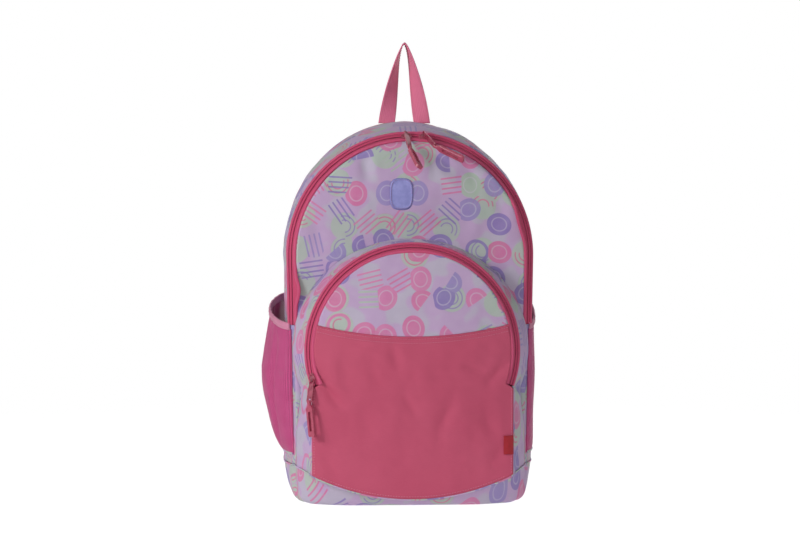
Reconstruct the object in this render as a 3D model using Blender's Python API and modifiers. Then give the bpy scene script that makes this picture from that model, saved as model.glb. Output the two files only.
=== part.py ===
"""School backpack: zipped main compartment, zipped front pocket, two mesh side pockets.

Metres, +Z up. The bag's front faces -Y and the wearer's back lies at +Y. The origin is the
middle of the flat underside.
"""
import math

import bmesh
import bpy
from mathutils import Matrix, Vector

# ---------------------------------------------------------------- driving dimensions
CLEAR = 0.0003            # gap kept between pieces that touch
SEAM = 0.0007             # gap kept between two sheets that meet at a seam

# main body
ARCH_RADIUS = 0.1385      # zip line of the arched front, at the top
ARCH_CENTRE_Z = 0.2895
FOOT_HALF_WIDTH = 0.1345  # zip line's half width where the sides meet the bottom panel
SIDE_SEAM_Z = 0.045       # seam between the side panels and the bottom panel
ZIP_END_Z = 0.209         # lower ends of the main zip
HINGE_Z = 0.325           # line that the upper front panel folds down about
BOTTOM_DROP = 0.0012      # how far the bottom panel's edges stay below the side seam
BODY_WALL = 0.0016
FOLD_WALL = 0.0006        # how much further in the front panel's edge stays where it is folded
FRONT_Y = -0.0640         # plane of the front panel's edge
ZIP_Y = -0.0582           # zip line on the slanted front edge
BACK_Y = 0.0735           # rear edge of the gusset
PANEL_CROWN = 0.0058      # how far the upper front panel swells forward
# (distance back from the zip line, swell of the sides, rise of the top) of the printed gusset
GUSSET_PROFILE = ((0.0064, 0.0046, 0.0055), (0.0230, 0.0070, 0.0108), (0.0530, 0.0082, 0.0155),
                  (0.0880, 0.0080, 0.0182), (0.1317, 0.0050, 0.0184))

# zip
TAPE_WALL = 0.0008
TAPE_REACH = 0.0058       # half width of the closed zip, across its slanted face
SLIT_HALF = 0.0006        # half of the slit that a slider's web runs in
COIL_WIDTH = 0.0024
COIL_WALL = 0.0015

# front pocket
POCKET_CENTRE_Z = 0.182
POCKET_RADIUS = 0.1187    # zip line of the pocket's arch
POCKET_ZIP_END = 19.6     # degrees that the pocket's zip runs on below its centre
POCKET_LEG_INSET = 0.0019  # how far the pocket's upright edges stand in from the zip line
POCKET_HALF_WIDTH = POCKET_RADIUS - POCKET_LEG_INSET
POCKET_FACE_Y = -0.1085   # edge of the pocket's face
POCKET_CROWN = 0.0125
POCKET_BASE_EXTRA = 0.0110  # how much wider the pocket is where it meets the body
POCKET_FOOT_Z = 0.038
POCKET_WALL = 0.0014
SEAM_LOW_Z = 0.0100       # lowest point of the seam below the pocket
YOKE_Z = 0.1935           # middle of the seam between the pocket's two fabrics
YOKE_LIFT = 0.0150        # how much higher that seam ends at the sides

# mesh side pockets
MESH_WALL = 0.0009
MESH_FOOT_Z = 0.058
MESH_FRONT_Y = -0.0560
MESH_REAR_Y = 0.0620
MESH_RIM_FRONT_Z = 0.2000
MESH_RIM_REAR_Z = 0.2320
BINDING_HEIGHT = 0.0075
BINDING_WALL = 0.0018
MESH_SWELL = {"left": 0.0290, "right": 0.0066}

# carrying loop
LOOP_WIDTH = 0.0200
LOOP_WALL = 0.0014
LOOP_HEIGHT = 0.0950
LOOP_FOOT_X = 0.0215
LOOP_Y = 0.0660

# back panel layers
FOAM_WALL = 0.0080
LINING_WALL = 0.0010
BACK_FABRIC_WALL = 0.0014

# shoulder straps: route of the pad's middle line, as (distance from the middle, y, drop below
# the strap's top)
STRAP_ROUTE = ((0.0480, 0.0905, 0.0185), (0.0500, 0.1060, 0.0425), (0.0590, 0.1190, 0.0835),
               (0.0740, 0.1250, 0.1285), (0.0880, 0.1230, 0.1785), (0.0960, 0.1140, 0.2235),
               (0.0985, 0.1010, 0.2605))
STRAP_TOP_DROP = 0.0195   # from the zip line's highest point to the strap's top
STRAP_WIDTH = 0.0600
STRAP_WALL = 0.0110
# where the strap's neck meets its tab
STRAP_TOP = (0.0460, 0.0754, ARCH_CENTRE_Z + ARCH_RADIUS - STRAP_TOP_DROP)
STRAP_FOOT = (0.1200, 0.0773, 0.0330)    # where the strap's webbing meets its lower tab
FOOT_TAB_LOW_Z = 0.0008
LOCK_DROP = 0.0070        # from the pad's lower end to the lock
TAIL_LENGTH = 0.0550      # webbing left hanging below the lock
TAB_GAP = 0.0008
WEBBING_WIDTH = 0.0250
WEBBING_WALL = 0.0014
TAB_WALL = 0.0030
TAB_HEIGHT = 0.0180
LOCK_WIDTH = 0.0360
LOCK_HEIGHT = 0.0300
LOCK_WALL = 0.0040

# sliders and pulls
SLIDER_LENGTH = 0.0115
SLIDER_WIDTH = 0.0086
PLATE_WALL = 0.0011
WEB_WALL = 0.0006
BRIDGE_HEIGHT = 0.0050    # from the slider's plate to the top of its bridge
BRIDGE_RADIUS = 0.00075
PULLER_LENGTH = 0.0245
PULLER_WIDTH = 0.0084
PULLER_HEAD_WIDTH = 0.0068  # narrower beside the slider
PULLER_WALL = 0.0013
EYE_WIDTH = 0.0050        # hole in the pull for the slider's bridge
EYE_HEIGHT = 0.0036
EYE_WALL = 0.0011
END_BAR = 0.0018          # bar at the pull's lower end
BAIL_HOLE = 0.0030        # hole above that bar
BAIL_WIDTH = 0.0036
BAIL_WALL = 0.0008
BAIL_GAP = 0.0026         # opening of the tip's bail, along the pull
TIP_LENGTH = 0.0400
TIP_WIDTH = 0.0092
TIP_WALL = 0.0040
LEFT_SLIDER_ANGLE = 91.9   # places of the two main sliders round the arch, in degrees
RIGHT_SLIDER_ANGLE = 83.6
SLIDER_LIFT = 0.0006       # gap between the tapes and a slider's plates

# directions that the pulls and their tips hang in, and each main pull's turn about its length
PULLS = {"left": ((0.16, -1.00, -0.98), (0.50, -1.20, -1.0), 46),
         "right": ((0.68, -0.92, -0.84), (0.78, -0.14, -0.70), 6),
         "pocket": ((-0.14, -0.36, -1.0), (-0.03, 0.0, -1.0), 0)}
POCKET_SLIDER_BACK = 4.5   # degrees from the pocket zip's end to its slider

BADGE_CENTRE = (-0.0110, 0.3615)
BADGE_SIZE = (0.0270, 0.0370)
BADGE_WALL = 0.0010
LABEL_Z = 0.0730
LABEL_SIZE = (0.0120, 0.0220)
LABEL_WALL = 0.0009

ARC_STEPS = 36
LEG_STEPS = 4


# ---------------------------------------------------------------- scene helpers
def clear_scene():
    for item in list(bpy.data.objects):
        bpy.data.objects.remove(item, do_unlink=True)


def collection(name):
    made = bpy.data.collections.new(name)
    bpy.context.scene.collection.children.link(made)
    return made


def material(name, colour, roughness, metallic=0.0):
    made = bpy.data.materials.new(name)
    made.use_nodes = True
    shader = made.node_tree.nodes["Principled BSDF"]
    shader.inputs["Base Color"].default_value = (*colour, 1.0)
    shader.inputs["Roughness"].default_value = roughness
    shader.inputs["Metallic"].default_value = metallic
    return made


clear_scene()
PARTS = collection("school_backpack")
CUTTERS = collection("cutters")
PRINT = material("printed_fabric", (0.40, 0.33, 0.48), 0.75)
PINK = material("pink_fabric", (0.46, 0.09, 0.16), 0.75)
MESH = material("mesh_fabric", (0.50, 0.10, 0.26), 0.80)
BINDING = material("elastic_binding", (0.62, 0.24, 0.36), 0.80)
TAPE = material("zip_tape", (0.42, 0.05, 0.13), 0.70)
WEBBING = material("webbing", (0.48, 0.11, 0.19), 0.70)
METAL = material("painted_metal", (0.45, 0.07, 0.13), 0.35, 0.2)
TIP = material("soft_plastic", (0.50, 0.10, 0.18), 0.45)
BUCKLE = material("buckle_plastic", (0.45, 0.09, 0.16), 0.40)
FOAM = material("foam", (0.75, 0.75, 0.72), 0.90)
LINING = material("lining", (0.30, 0.25, 0.36), 0.80)
PATCH = material("patch", (0.25, 0.25, 0.62), 0.55)
LABEL = material("side_tab", (0.35, 0.02, 0.04), 0.60)


def new_object(name, mesh, finish, smooth=True, home=PARTS):
    item = bpy.data.objects.new(name, mesh)
    home.objects.link(item)
    mesh.materials.clear()
    mesh.materials.append(finish)
    if smooth:
        mesh.shade_smooth()
        mesh.set_sharp_from_angle(angle=math.radians(40))
    return item


def solidify(item, thickness, offset=-1.0):
    modifier = item.modifiers.new("wall", "SOLIDIFY")
    modifier.thickness = thickness
    modifier.offset = offset
    modifier.use_even_offset = True
    return item


def face_away(bm, reference):
    """Turn the open surface so that its faces look away from a point."""
    bm.normal_update()
    turn = sum(f.normal.dot(f.calc_center_median() - reference) * f.calc_area() for f in bm.faces)
    if turn < 0:
        bmesh.ops.reverse_faces(bm, faces=bm.faces)


def sheet(name, rows, thickness, finish, away_from, offset=-1.0):
    """Fabric lofted through rows of points, then given its thickness."""
    bm = bmesh.new()
    grid = [[bm.verts.new(point) for point in row] for row in rows]
    for lower, upper in zip(grid, grid[1:]):
        for i in range(len(lower) - 1):
            bm.faces.new((lower[i], lower[i + 1], upper[i + 1], upper[i]))
    face_away(bm, Vector(away_from))
    mesh = bpy.data.meshes.new(name)
    bm.to_mesh(mesh)
    bm.free()
    return solidify(new_object(name, mesh, finish), thickness, offset)


def crowned_panel(name, outline, surface, thickness, finish, rings=5):
    """Panel inside an (x, z) outline; surface(x, z) gives its front face's y."""
    middle_x = sum(p[0] for p in outline) / len(outline)
    middle_z = sum(p[1] for p in outline) / len(outline)
    bm = bmesh.new()
    previous = None
    for ring in range(rings):
        share = 1.0 - ring / rings
        loop = []
        for x, z in outline:
            px = middle_x + (x - middle_x) * share
            pz = middle_z + (z - middle_z) * share
            loop.append(bm.verts.new((px, surface(px, pz), pz)))
        if previous:
            for i in range(len(loop)):
                j = (i + 1) % len(loop)
                bm.faces.new((previous[i], previous[j], loop[j], loop[i]))
        previous = loop
    bmesh.ops.triangle_fill(bm, edges=[bm.edges.get((previous[i], previous[i - 1]))
                                       for i in range(len(previous))], use_beauty=True)
    bmesh.ops.recalc_face_normals(bm, faces=bm.faces)
    face_away(bm, Vector((middle_x, 10.0, middle_z)))
    mesh = bpy.data.meshes.new(name)
    bm.to_mesh(mesh)
    bm.free()
    return solidify(new_object(name, mesh, finish), thickness)


def plate(name, outline, front_y, thickness, finish):
    """Flat sheet: a filled 2D outline in the XZ plane, extruded along Y."""
    curve = bpy.data.curves.new(name, "CURVE")
    curve.dimensions = "2D"
    curve.fill_mode = "BOTH"
    curve.extrude = thickness / 2
    spline = curve.splines.new("POLY")
    spline.points.add(len(outline) - 1)
    for point, (x, z) in zip(spline.points, outline):
        point.co = (x, z, 0.0, 1.0)
    spline.use_cyclic_u = True
    item = bpy.data.objects.new(name, curve)
    PARTS.objects.link(item)
    item.rotation_euler = (math.pi / 2, 0, 0)
    item.location = (0, front_y + thickness / 2, 0)
    curve.materials.append(finish)
    return item


# ---------------------------------------------------------------- body outline
def side_x(z):
    """Half width of the zip line on the sides, which taper towards the bottom."""
    share = (min(z, ARCH_CENTRE_Z) - SIDE_SEAM_Z) / (ARCH_CENTRE_Z - SIDE_SEAM_Z)
    return FOOT_HALF_WIDTH + (ARCH_RADIUS - FOOT_HALF_WIDTH) * share


def body_arc(swell, rise, start, stop, steps):
    """Points round the arch, from one angle to another in degrees."""
    points = []
    for i in range(steps + 1):
        a = math.radians(start + (stop - start) * i / steps)
        x = (ARCH_RADIUS + swell) * math.cos(a)
        points.append((x, ARCH_CENTRE_Z + (ARCH_RADIUS + rise) * math.sin(a)))
    return points


def body_leg(swell, low_z, steps=LEG_STEPS):
    """Points up the left side, from low_z to just under the arch."""
    span = ARCH_CENTRE_Z - low_z
    heights = [low_z + span * i / steps for i in range(steps)]
    return [(-(side_x(z) + swell), z) for z in heights]


def mirrored(points):
    return [(-x, z) for x, z in reversed(points)]


def body_run(swell, rise, low_z, steps=ARC_STEPS):
    """The whole run: up the left side, over the top and down the right side."""
    leg = body_leg(swell, low_z)
    return leg + body_arc(swell, rise, 180, 0, steps) + mirrored(leg)


def at_y(points, y):
    return [Vector((x, y, z)) for x, z in points]


def gusset_swell(y):
    """Swell of the sides behind the zip line at a given y."""
    stations = ((0.0, 0.0, 0.0),) + GUSSET_PROFILE
    distance = min(max(y - ZIP_Y, 0.0), GUSSET_PROFILE[-1][0])
    for (d0, s0, _), (d1, s1, _) in zip(stations, stations[1:]):
        if distance <= d1:
            return s0 + (s1 - s0) * (distance - d0) / (d1 - d0)
    return GUSSET_PROFILE[-1][1]


def side_surface(y, z):
    """Distance of the body's side from the middle plane."""
    return side_x(z) + gusset_swell(y)


# ---------------------------------------------------------------- main body
SLANT = math.radians(45)
TAPE_EDGE = TAPE_REACH * math.cos(SLANT)       # both shares of the tape's reach
SLIT_EDGE = SLIT_HALF * math.cos(SLANT)
HINGE_ANGLE = math.degrees(math.asin((HINGE_Z - ARCH_CENTRE_Z) / ARCH_RADIUS))
HINGE_GAP_ANGLE = math.degrees(SEAM / ARCH_RADIUS)


def zip_strip(points_at, inner, outer, depth=0.0):
    """Two rows of one half of a zip; inner and outer are reaches across its slanted face."""
    rows = []
    for reach in (inner, outer):
        radial = reach * math.cos(SLANT) - depth * math.sin(SLANT)
        y = ZIP_Y + reach * math.sin(SLANT) + depth * math.cos(SLANT)
        rows.append(at_y(points_at(radial), y))
    return rows


def upper_run(radial):
    low = HINGE_ANGLE + HINGE_GAP_ANGLE
    return body_arc(radial, radial, 180 - low, low, ARC_STEPS - 4)


def lower_left_run(radial):
    high = 180 - HINGE_ANGLE + HINGE_GAP_ANGLE
    return body_leg(radial, ZIP_END_Z, 3) + body_arc(radial, radial, 180, high, 4)


def lower_right_run(radial):
    return mirrored(lower_left_run(radial))


def whole_run(radial):
    return body_run(radial, radial, ZIP_END_Z)


def make_main_zip():
    inside = (0, 0.02, 0.25)
    coil_top = TAPE_WALL + CLEAR
    for place, run in (("upper", upper_run), ("left_leg", lower_left_run),
                       ("right_leg", lower_right_run)):
        rows = zip_strip(run, -TAPE_REACH, -SLIT_HALF)
        sheet("zip_tape_front_" + place, rows, TAPE_WALL, TAPE, inside)
        rows = zip_strip(run, -SLIT_HALF - COIL_WIDTH, -SLIT_HALF, coil_top)
        sheet("zip_coil_front_" + place, rows, COIL_WALL, TAPE, inside)
    rows = zip_strip(whole_run, SLIT_HALF, TAPE_REACH)
    sheet("zip_tape_rear", rows, TAPE_WALL, TAPE, inside)
    rows = zip_strip(whole_run, SLIT_HALF, SLIT_HALF + COIL_WIDTH, coil_top)
    sheet("zip_coil_rear", rows, COIL_WALL, TAPE, inside)


def front_edge(z):
    """Reach of the front panel's edge from the zip line, which it meets below the zip."""
    low_z = ZIP_END_Z - 0.055
    share = min(max((z - low_z) / (ZIP_END_Z - low_z), 0.0), 1.0)
    return -(0.0008 + (TAPE_EDGE - 0.0008) * share)


def make_body():
    inside = (0, 0, 0.22)
    rows = [at_y(body_run(swell, rise, ZIP_END_Z + SEAM), ZIP_Y + back)
            for back, swell, rise in GUSSET_PROFILE]
    rows[0] = [point + Vector((0, TAPE_EDGE + SEAM - GUSSET_PROFILE[0][0], 0))
               for point in rows[0]]
    sheet("top_gusset", rows, BODY_WALL, PRINT, inside)
    span = ZIP_END_Z - SIDE_SEAM_Z - 2 * SEAM
    heights = [SIDE_SEAM_Z + SEAM + span * i / 6 for i in range(7)]
    for name, side in (("left", -1), ("right", 1)):
        rows = [[Vector((side * (side_x(z) + front_edge(z)), FRONT_Y, z)) for z in heights]]
        rows.append([Vector((side * side_x(z), ZIP_Y, z)) for z in heights])
        rows += [[Vector((side * (side_x(z) + swell), ZIP_Y + back, z)) for z in heights]
                 for back, swell, _ in GUSSET_PROFILE]
        sheet("side_panel_" + name, rows, BODY_WALL, PRINT, inside)


def bottom_share(step, steps):
    """Share of the half width at a step across the bottom: closer steps towards the sides."""
    u = -1 + 2 * step / steps
    return math.copysign(1 - (1 - abs(u)) ** 2.2, u)


def bottom_curl(t, flat, power, roundness):
    """Rise of the bottom, 0 to 1: none in the flat middle, then a corner into upright sides.
    A roundness of 1 gives a plain curve, and 2 ends it upright."""
    share = max(0.0, (abs(t) - flat) / (1 - flat))
    return 1 - (1 - share ** power) ** (1 / roundness)


def bottom_row(y, half_width, lift, height, profile, steps=28):
    """One row across the bottom panel, from one side seam to the other."""
    return [Vector((half_width * t, y, lift + height * bottom_curl(t, *profile)))
            for t in (bottom_share(i, steps) for i in range(steps + 1))]


BOTTOM_PROFILE = (0.50, 16.0, 2.0)    # flat share, power and roundness below the body


def make_bottom():
    rise = POCKET_FOOT_Z - SEAM_LOW_Z
    widening = FOOT_HALF_WIDTH - POCKET_HALF_WIDTH
    rows = [bottom_row(POCKET_FACE_Y + 0.0035, POCKET_HALF_WIDTH, SEAM_LOW_Z, rise,
                       (0.0, 2.0, 1.0))]
    # (y, share of the widening, lowest z, climb at the sides, profile)
    for y, share, low, climb, profile in ((-0.0960, 0.24, 0.0030, 0.0366, (0.15, 2.8, 1.15)),
                                          (-0.0850, 0.53, 0.0004, 0.0412, (0.35, 5.0, 1.4)),
                                          (-0.0700, 0.90, 0.0, 0.0432, (0.50, 12.0, 1.8))):
        rows.append(bottom_row(y, POCKET_HALF_WIDTH + widening * share, low, climb, profile))
    for back, swell, _ in ((0.0, 0.0, 0.0),) + GUSSET_PROFILE:
        rows.append(bottom_row(ZIP_Y + back, FOOT_HALF_WIDTH + swell, 0.0,
                               SIDE_SEAM_Z - BOTTOM_DROP, BOTTOM_PROFILE))
    sheet("bottom_panel", rows, BODY_WALL, PRINT, (0, 0, 0.2))


def bottom_edge(half_width, lift, steps=16):
    """Bottom edge of an upright panel, from right to left, lift above the bottom panel."""
    return [(-half_width * t, SIDE_SEAM_Z * bottom_curl(t, *BOTTOM_PROFILE) + lift)
            for t in (bottom_share(i, steps) for i in range(steps + 1))]


def panel_crown(x, z):
    """Front face of the upper front panel: flat at its edges, swelling forward between."""
    across = max(0.0, 1 - (x / ARCH_RADIUS) ** 2)
    height = ARCH_CENTRE_Z + ARCH_RADIUS - HINGE_Z
    up = math.sin(math.pi * min(max((z - HINGE_Z) / height, 0.0), 1.0))
    return FRONT_Y - PANEL_CROWN * across * up ** 0.8


def make_front_panels():
    hinge_low = HINGE_Z - SEAM / 2
    hinge_high = HINGE_Z + SEAM / 2
    edge = TAPE_EDGE + SEAM + FOLD_WALL

    low = math.degrees(math.asin((hinge_high - ARCH_CENTRE_Z) / (ARCH_RADIUS - edge)))
    cap = body_arc(-edge, -edge, 180 - low, low, 30)
    base = [(cap[-1][0] + (cap[0][0] - cap[-1][0]) * i / 10, hinge_high) for i in range(1, 10)]
    crowned_panel("front_panel_upper", cap + base, panel_crown, BODY_WALL, PRINT)

    high = math.degrees(math.asin((hinge_low - ARCH_CENTRE_Z) / (ARCH_RADIUS - edge)))
    left = []
    for i in range(9):
        z = SIDE_SEAM_Z + 0.004 + (ARCH_CENTRE_Z - SIDE_SEAM_Z - 0.004) * i / 9
        wall = BODY_WALL if z < ZIP_END_Z + 0.02 else FOLD_WALL
        left.append((-(side_x(z) + front_edge(z) - SEAM - wall), z))
    left += body_arc(-edge, -edge, 180, 180 - high, 4)
    top = [(left[-1][0] * (1 - 2 * i / 10), hinge_low) for i in range(1, 10)]
    bottom = bottom_edge(-left[0][0], BODY_WALL + SEAM + 0.0012)[1:-1]
    outline = left + top + mirrored(left) + bottom
    plate("front_panel_lower", outline, FRONT_Y, BODY_WALL, PRINT)


def back_outline(inset):
    swell = GUSSET_PROFILE[-1][1] - inset
    rise = GUSSET_PROFILE[-1][2] - inset
    upper = body_run(swell - 0.0004, rise, SIDE_SEAM_Z + 0.004, 32)
    return upper + bottom_edge(upper[-1][0], inset + 0.0016)[1:-1]


def make_back():
    inset = BODY_WALL + SEAM
    outer = BACK_Y - 0.0017 - BACK_FABRIC_WALL
    foam = outer - CLEAR - FOAM_WALL
    lining = foam - CLEAR - LINING_WALL
    plate("back_panel", back_outline(inset), outer, BACK_FABRIC_WALL, PINK)
    plate("back_foam", back_outline(inset + 0.003), foam, FOAM_WALL, FOAM)
    plate("back_lining", back_outline(inset + 0.001), lining, LINING_WALL, LINING)
    return outer + BACK_FABRIC_WALL


# ---------------------------------------------------------------- front pocket
def pocket_arc(reach, start, stop, steps):
    points = []
    for i in range(steps + 1):
        a = math.radians(start + (stop - start) * i / steps)
        points.append(((POCKET_RADIUS + reach) * math.cos(a),
                       POCKET_CENTRE_Z + (POCKET_RADIUS + reach) * math.sin(a)))
    return points


def pocket_crown(x, z):
    """Front face of the pocket: one swelling surface for both of its fabrics."""
    across = max(0.0, 1 - (x / (POCKET_HALF_WIDTH + 0.002)) ** 2)
    middle = (POCKET_CENTRE_Z + POCKET_RADIUS + SEAM_LOW_Z) / 2
    half = (POCKET_CENTRE_Z + POCKET_RADIUS - SEAM_LOW_Z) / 2
    up = max(0.0, 1 - ((z - middle) / half) ** 2)
    return POCKET_FACE_Y - POCKET_CROWN * (across * up) ** 0.75


def yoke_height(x):
    return YOKE_Z + YOKE_LIFT * (x / POCKET_RADIUS) ** 2


POCKET_TAPE_EDGE = TAPE_REACH * math.cos(SLANT)
POCKET_ZIP_Y = POCKET_FACE_Y + TAPE_REACH * math.sin(SLANT) - 0.0006


def pocket_strip(inner, outer, depth=0.0):
    rows = []
    for reach in (inner, outer):
        radial = reach * math.cos(SLANT) - depth * math.sin(SLANT)
        y = POCKET_ZIP_Y + reach * math.sin(SLANT) + depth * math.cos(SLANT)
        rows.append(at_y(pocket_arc(radial, 180 + POCKET_ZIP_END, -POCKET_ZIP_END, 40), y))
    return rows


def make_pocket():
    inside = (0, -0.07, 0.17)
    coil_top = TAPE_WALL + CLEAR
    sheet("pocket_tape_front", pocket_strip(-TAPE_REACH, -SLIT_HALF), TAPE_WALL, TAPE, inside)
    sheet("pocket_tape_rear", pocket_strip(SLIT_HALF, TAPE_REACH), TAPE_WALL, TAPE, inside)
    rows = pocket_strip(-SLIT_HALF - COIL_WIDTH, -SLIT_HALF, coil_top)
    sheet("pocket_coil_front", rows, COIL_WALL, TAPE, inside)
    rows = pocket_strip(SLIT_HALF, SLIT_HALF + COIL_WIDTH, coil_top)
    sheet("pocket_coil_rear", rows, COIL_WALL, TAPE, inside)

    edge = -POCKET_TAPE_EDGE - SEAM
    end = POCKET_ZIP_END
    seam_reach = POCKET_RADIUS + edge
    yoke_angle = math.degrees(math.asin((yoke_height(seam_reach) - POCKET_CENTRE_Z) / seam_reach))
    gap_angle = math.degrees(SEAM / 2 / seam_reach)
    cap = pocket_arc(edge, 180 - yoke_angle - gap_angle, yoke_angle + gap_angle, 28)
    limit = cap[-1][0]
    base = [limit * (1 - 2 * i / 16) for i in range(1, 16)]
    upper = cap + [(x, yoke_height(x) + SEAM / 2) for x in base]
    crowned_panel("pocket_panel_upper", upper, pocket_crown, POCKET_WALL, PRINT)

    left = pocket_arc(edge, 180 + end, 180 - yoke_angle + gap_angle, 8)
    step_z = POCKET_CENTRE_Z - POCKET_RADIUS * math.sin(math.radians(end)) - 0.0035
    foot = POCKET_HALF_WIDTH - SEAM
    leg = [(-foot, POCKET_FOOT_Z + SEAM + (step_z - POCKET_FOOT_Z) * i / 6) for i in range(7)]
    left = leg + left
    top = [(-x, yoke_height(x) - SEAM / 2) for x in base]
    rise = POCKET_FOOT_Z - SEAM_LOW_Z
    bottom = []
    for i in range(1, 20):
        x = foot * (1 - 2 * i / 20)
        bottom.append((x, SEAM_LOW_Z + rise * (x / POCKET_HALF_WIDTH) ** 2 + SEAM))
    lower = left + top + mirrored(left) + bottom
    crowned_panel("pocket_panel_lower", lower, pocket_crown, POCKET_WALL, PINK)

    # gusset: round the arch behind the zip, then straight down both sides
    def rim_points(extra, y, foot_z, y_foot):
        arc = pocket_arc(POCKET_TAPE_EDGE + SEAM + extra, 180 + end, -end, 36)
        side = POCKET_HALF_WIDTH + extra
        start_z = arc[0][1]
        down = []
        for i in range(6):
            z = foot_z + (start_z - 0.012 - foot_z) * i / 5
            down.append((-side, z))
        rows = []
        for x, z in down + arc + mirrored(down):
            share = min(max((start_z - z) / 0.03, 0.0), 1.0)
            rows.append(Vector((x, y + (y_foot - y) * share, z)))
        return rows

    zip_back = POCKET_ZIP_Y + POCKET_TAPE_EDGE + SEAM
    body_y = FRONT_Y - 3 * CLEAR
    rows = [rim_points(0.0, zip_back, POCKET_FOOT_Z + 0.0012, POCKET_FACE_Y + 0.0012),
            rim_points(POCKET_BASE_EXTRA * 0.45, (zip_back + body_y) / 2, 0.0432,
                       (zip_back + body_y) / 2),
            rim_points(POCKET_BASE_EXTRA * 0.9, body_y, 0.0465, body_y)]
    sheet("pocket_gusset", rows, POCKET_WALL, PRINT, inside)


# ---------------------------------------------------------------- mesh side pockets
def mesh_rim(y):
    share = (y - MESH_FRONT_Y) / (MESH_REAR_Y - MESH_FRONT_Y)
    return MESH_RIM_FRONT_Z + (MESH_RIM_REAR_Z - MESH_RIM_FRONT_Z) * share


def mesh_bulge(swell, y, height):
    """How far the mesh stands off the side: nothing at its seams, most above the middle."""
    across = math.sin(math.pi * (y - MESH_FRONT_Y) / (MESH_REAR_Y - MESH_FRONT_Y)) ** 0.6
    up = math.sin(math.pi / 2 * min(height / 0.62, 1.0)) ** 0.7
    ease = 1 - 0.22 * max(0.0, (height - 0.62) / 0.38)
    return swell * across * up * ease


def mesh_stations(steps=3):
    """Rows of the mesh from front to back, with one at each crease of the side below it."""
    creases = [ZIP_Y + back for back, _, _ in GUSSET_PROFILE]
    marks = [MESH_FRONT_Y] + [y for y in creases if MESH_FRONT_Y < y < MESH_REAR_Y]
    marks.append(MESH_REAR_Y)
    return [a + (b - a) * k / steps for a, b in zip(marks, marks[1:]) for k in range(steps)] + [
        MESH_REAR_Y]


def make_side_pockets():
    for name, side in (("left", -1), ("right", 1)):
        swell = MESH_SWELL[name]
        rows, band = [], []
        for y in mesh_stations():
            row = []
            for k in range(9):
                z = MESH_FOOT_Z + (mesh_rim(y) - MESH_FOOT_Z) * k / 8
                stand = MESH_WALL + CLEAR + 0.0004 + mesh_bulge(swell, y, k / 8)
                row.append(Vector((side * (side_surface(y, z) + stand), y, z)))
            rows.append(row)
            rim = row[-1]
            low = rim + Vector((side * (BINDING_WALL - MESH_WALL), 0, CLEAR))
            band.append([low, low + Vector((0, 0, BINDING_HEIGHT))])
        sheet("side_mesh_" + name, rows, MESH_WALL, MESH, (0, 0, 0.14))
        sheet("mesh_binding_" + name, band, BINDING_WALL, BINDING, (0, 0, 0.22))


# ---------------------------------------------------------------- webbing
def smooth_route(points, steps):
    """Catmull-Rom curve through the points."""
    ends = [points[0] * 2 - points[1]] + list(points) + [points[-1] * 2 - points[-2]]
    route = []
    for i in range(1, len(ends) - 2):
        p0, p1, p2, p3 = ends[i - 1], ends[i], ends[i + 1], ends[i + 2]
        for k in range(steps):
            t = k / steps
            route.append(0.5 * ((2 * p1) + (p2 - p0) * t + (2 * p0 - 5 * p1 + 4 * p2 - p3) * t * t
                                + (3 * p1 - p0 - 3 * p2 + p3) * t ** 3))
    return route + [points[-1].copy()]


def ribbon(name, route, width, thickness, finish, sideways=None):
    """Band along a route. width(t) is its width from one end, t = 0, to the other, t = 1."""
    rows = []
    for i, point in enumerate(route):
        before = route[max(i - 1, 0)]
        after = route[min(i + 1, len(route) - 1)]
        across = (after - before).cross(Vector((0, 1, 0))).normalized()
        if sideways:
            across = sideways(i / (len(route) - 1)).normalized()
        half = width(i / (len(route) - 1)) / 2
        rows.append([point - across * half, point, point + across * half])
    return sheet(name, rows, thickness, finish, (0, -5, 0.2), 0.0)


def gusset_top_z(x, y):
    """Height of the gusset's outer face above a point near the rear edge of the top."""
    (d0, s0, r0), (d1, s1, r1) = GUSSET_PROFILE[-2:]
    share = (y - ZIP_Y - d0) / (d1 - d0)
    swell = s0 + (s1 - s0) * share
    rise = r0 + (r1 - r0) * share
    return ARCH_CENTRE_Z + (ARCH_RADIUS + rise) * math.sqrt(1 - (x / (ARCH_RADIUS + swell)) ** 2)


def make_haul_loop():
    """Webbing loop that turns edge-on at its top, standing on the rear of the top gusset."""
    steps = 28
    apex_z = gusset_top_z(0, LOOP_Y) + LOOP_HEIGHT
    foot_z = gusset_top_z(LOOP_FOOT_X, LOOP_Y)
    rows = []
    for i in range(steps + 1):
        t = i / steps                      # 0 at the left foot, 1 at the right foot
        side = math.copysign(1.0, 2 * t - 1)
        away = abs(2 * t - 1)              # 1 at both feet, 0 at the top
        turn = math.radians(90) * (1 + side * away ** 2.4)
        z = apex_z - (apex_z - foot_z) * away ** 2.1
        x = LOOP_FOOT_X * side * away ** 1.3
        direction = Vector((math.cos(turn), math.sin(turn), 0))
        row = []
        for k in range(3):
            point = Vector((x, LOOP_Y, z)) + direction * LOOP_WIDTH * (k / 2 - 0.5)
            if i in (0, steps):
                point.z = gusset_top_z(point.x, LOOP_Y) + 2 * CLEAR
            row.append(point)
        rows.append(row)
    sheet("haul_loop", rows, LOOP_WALL, WEBBING, (0, -5, 0.5), 0.0)


def tab(name, centre_x, low_z, high_z, front_y, finish):
    """Folded webbing, sewn flat to the back."""
    half = WEBBING_WIDTH / 2
    outline = [(centre_x - half, low_z), (centre_x + half, low_z),
               (centre_x + half, high_z), (centre_x - half, high_z)]
    return plate(name, outline, front_y, TAB_WALL, finish)


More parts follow.
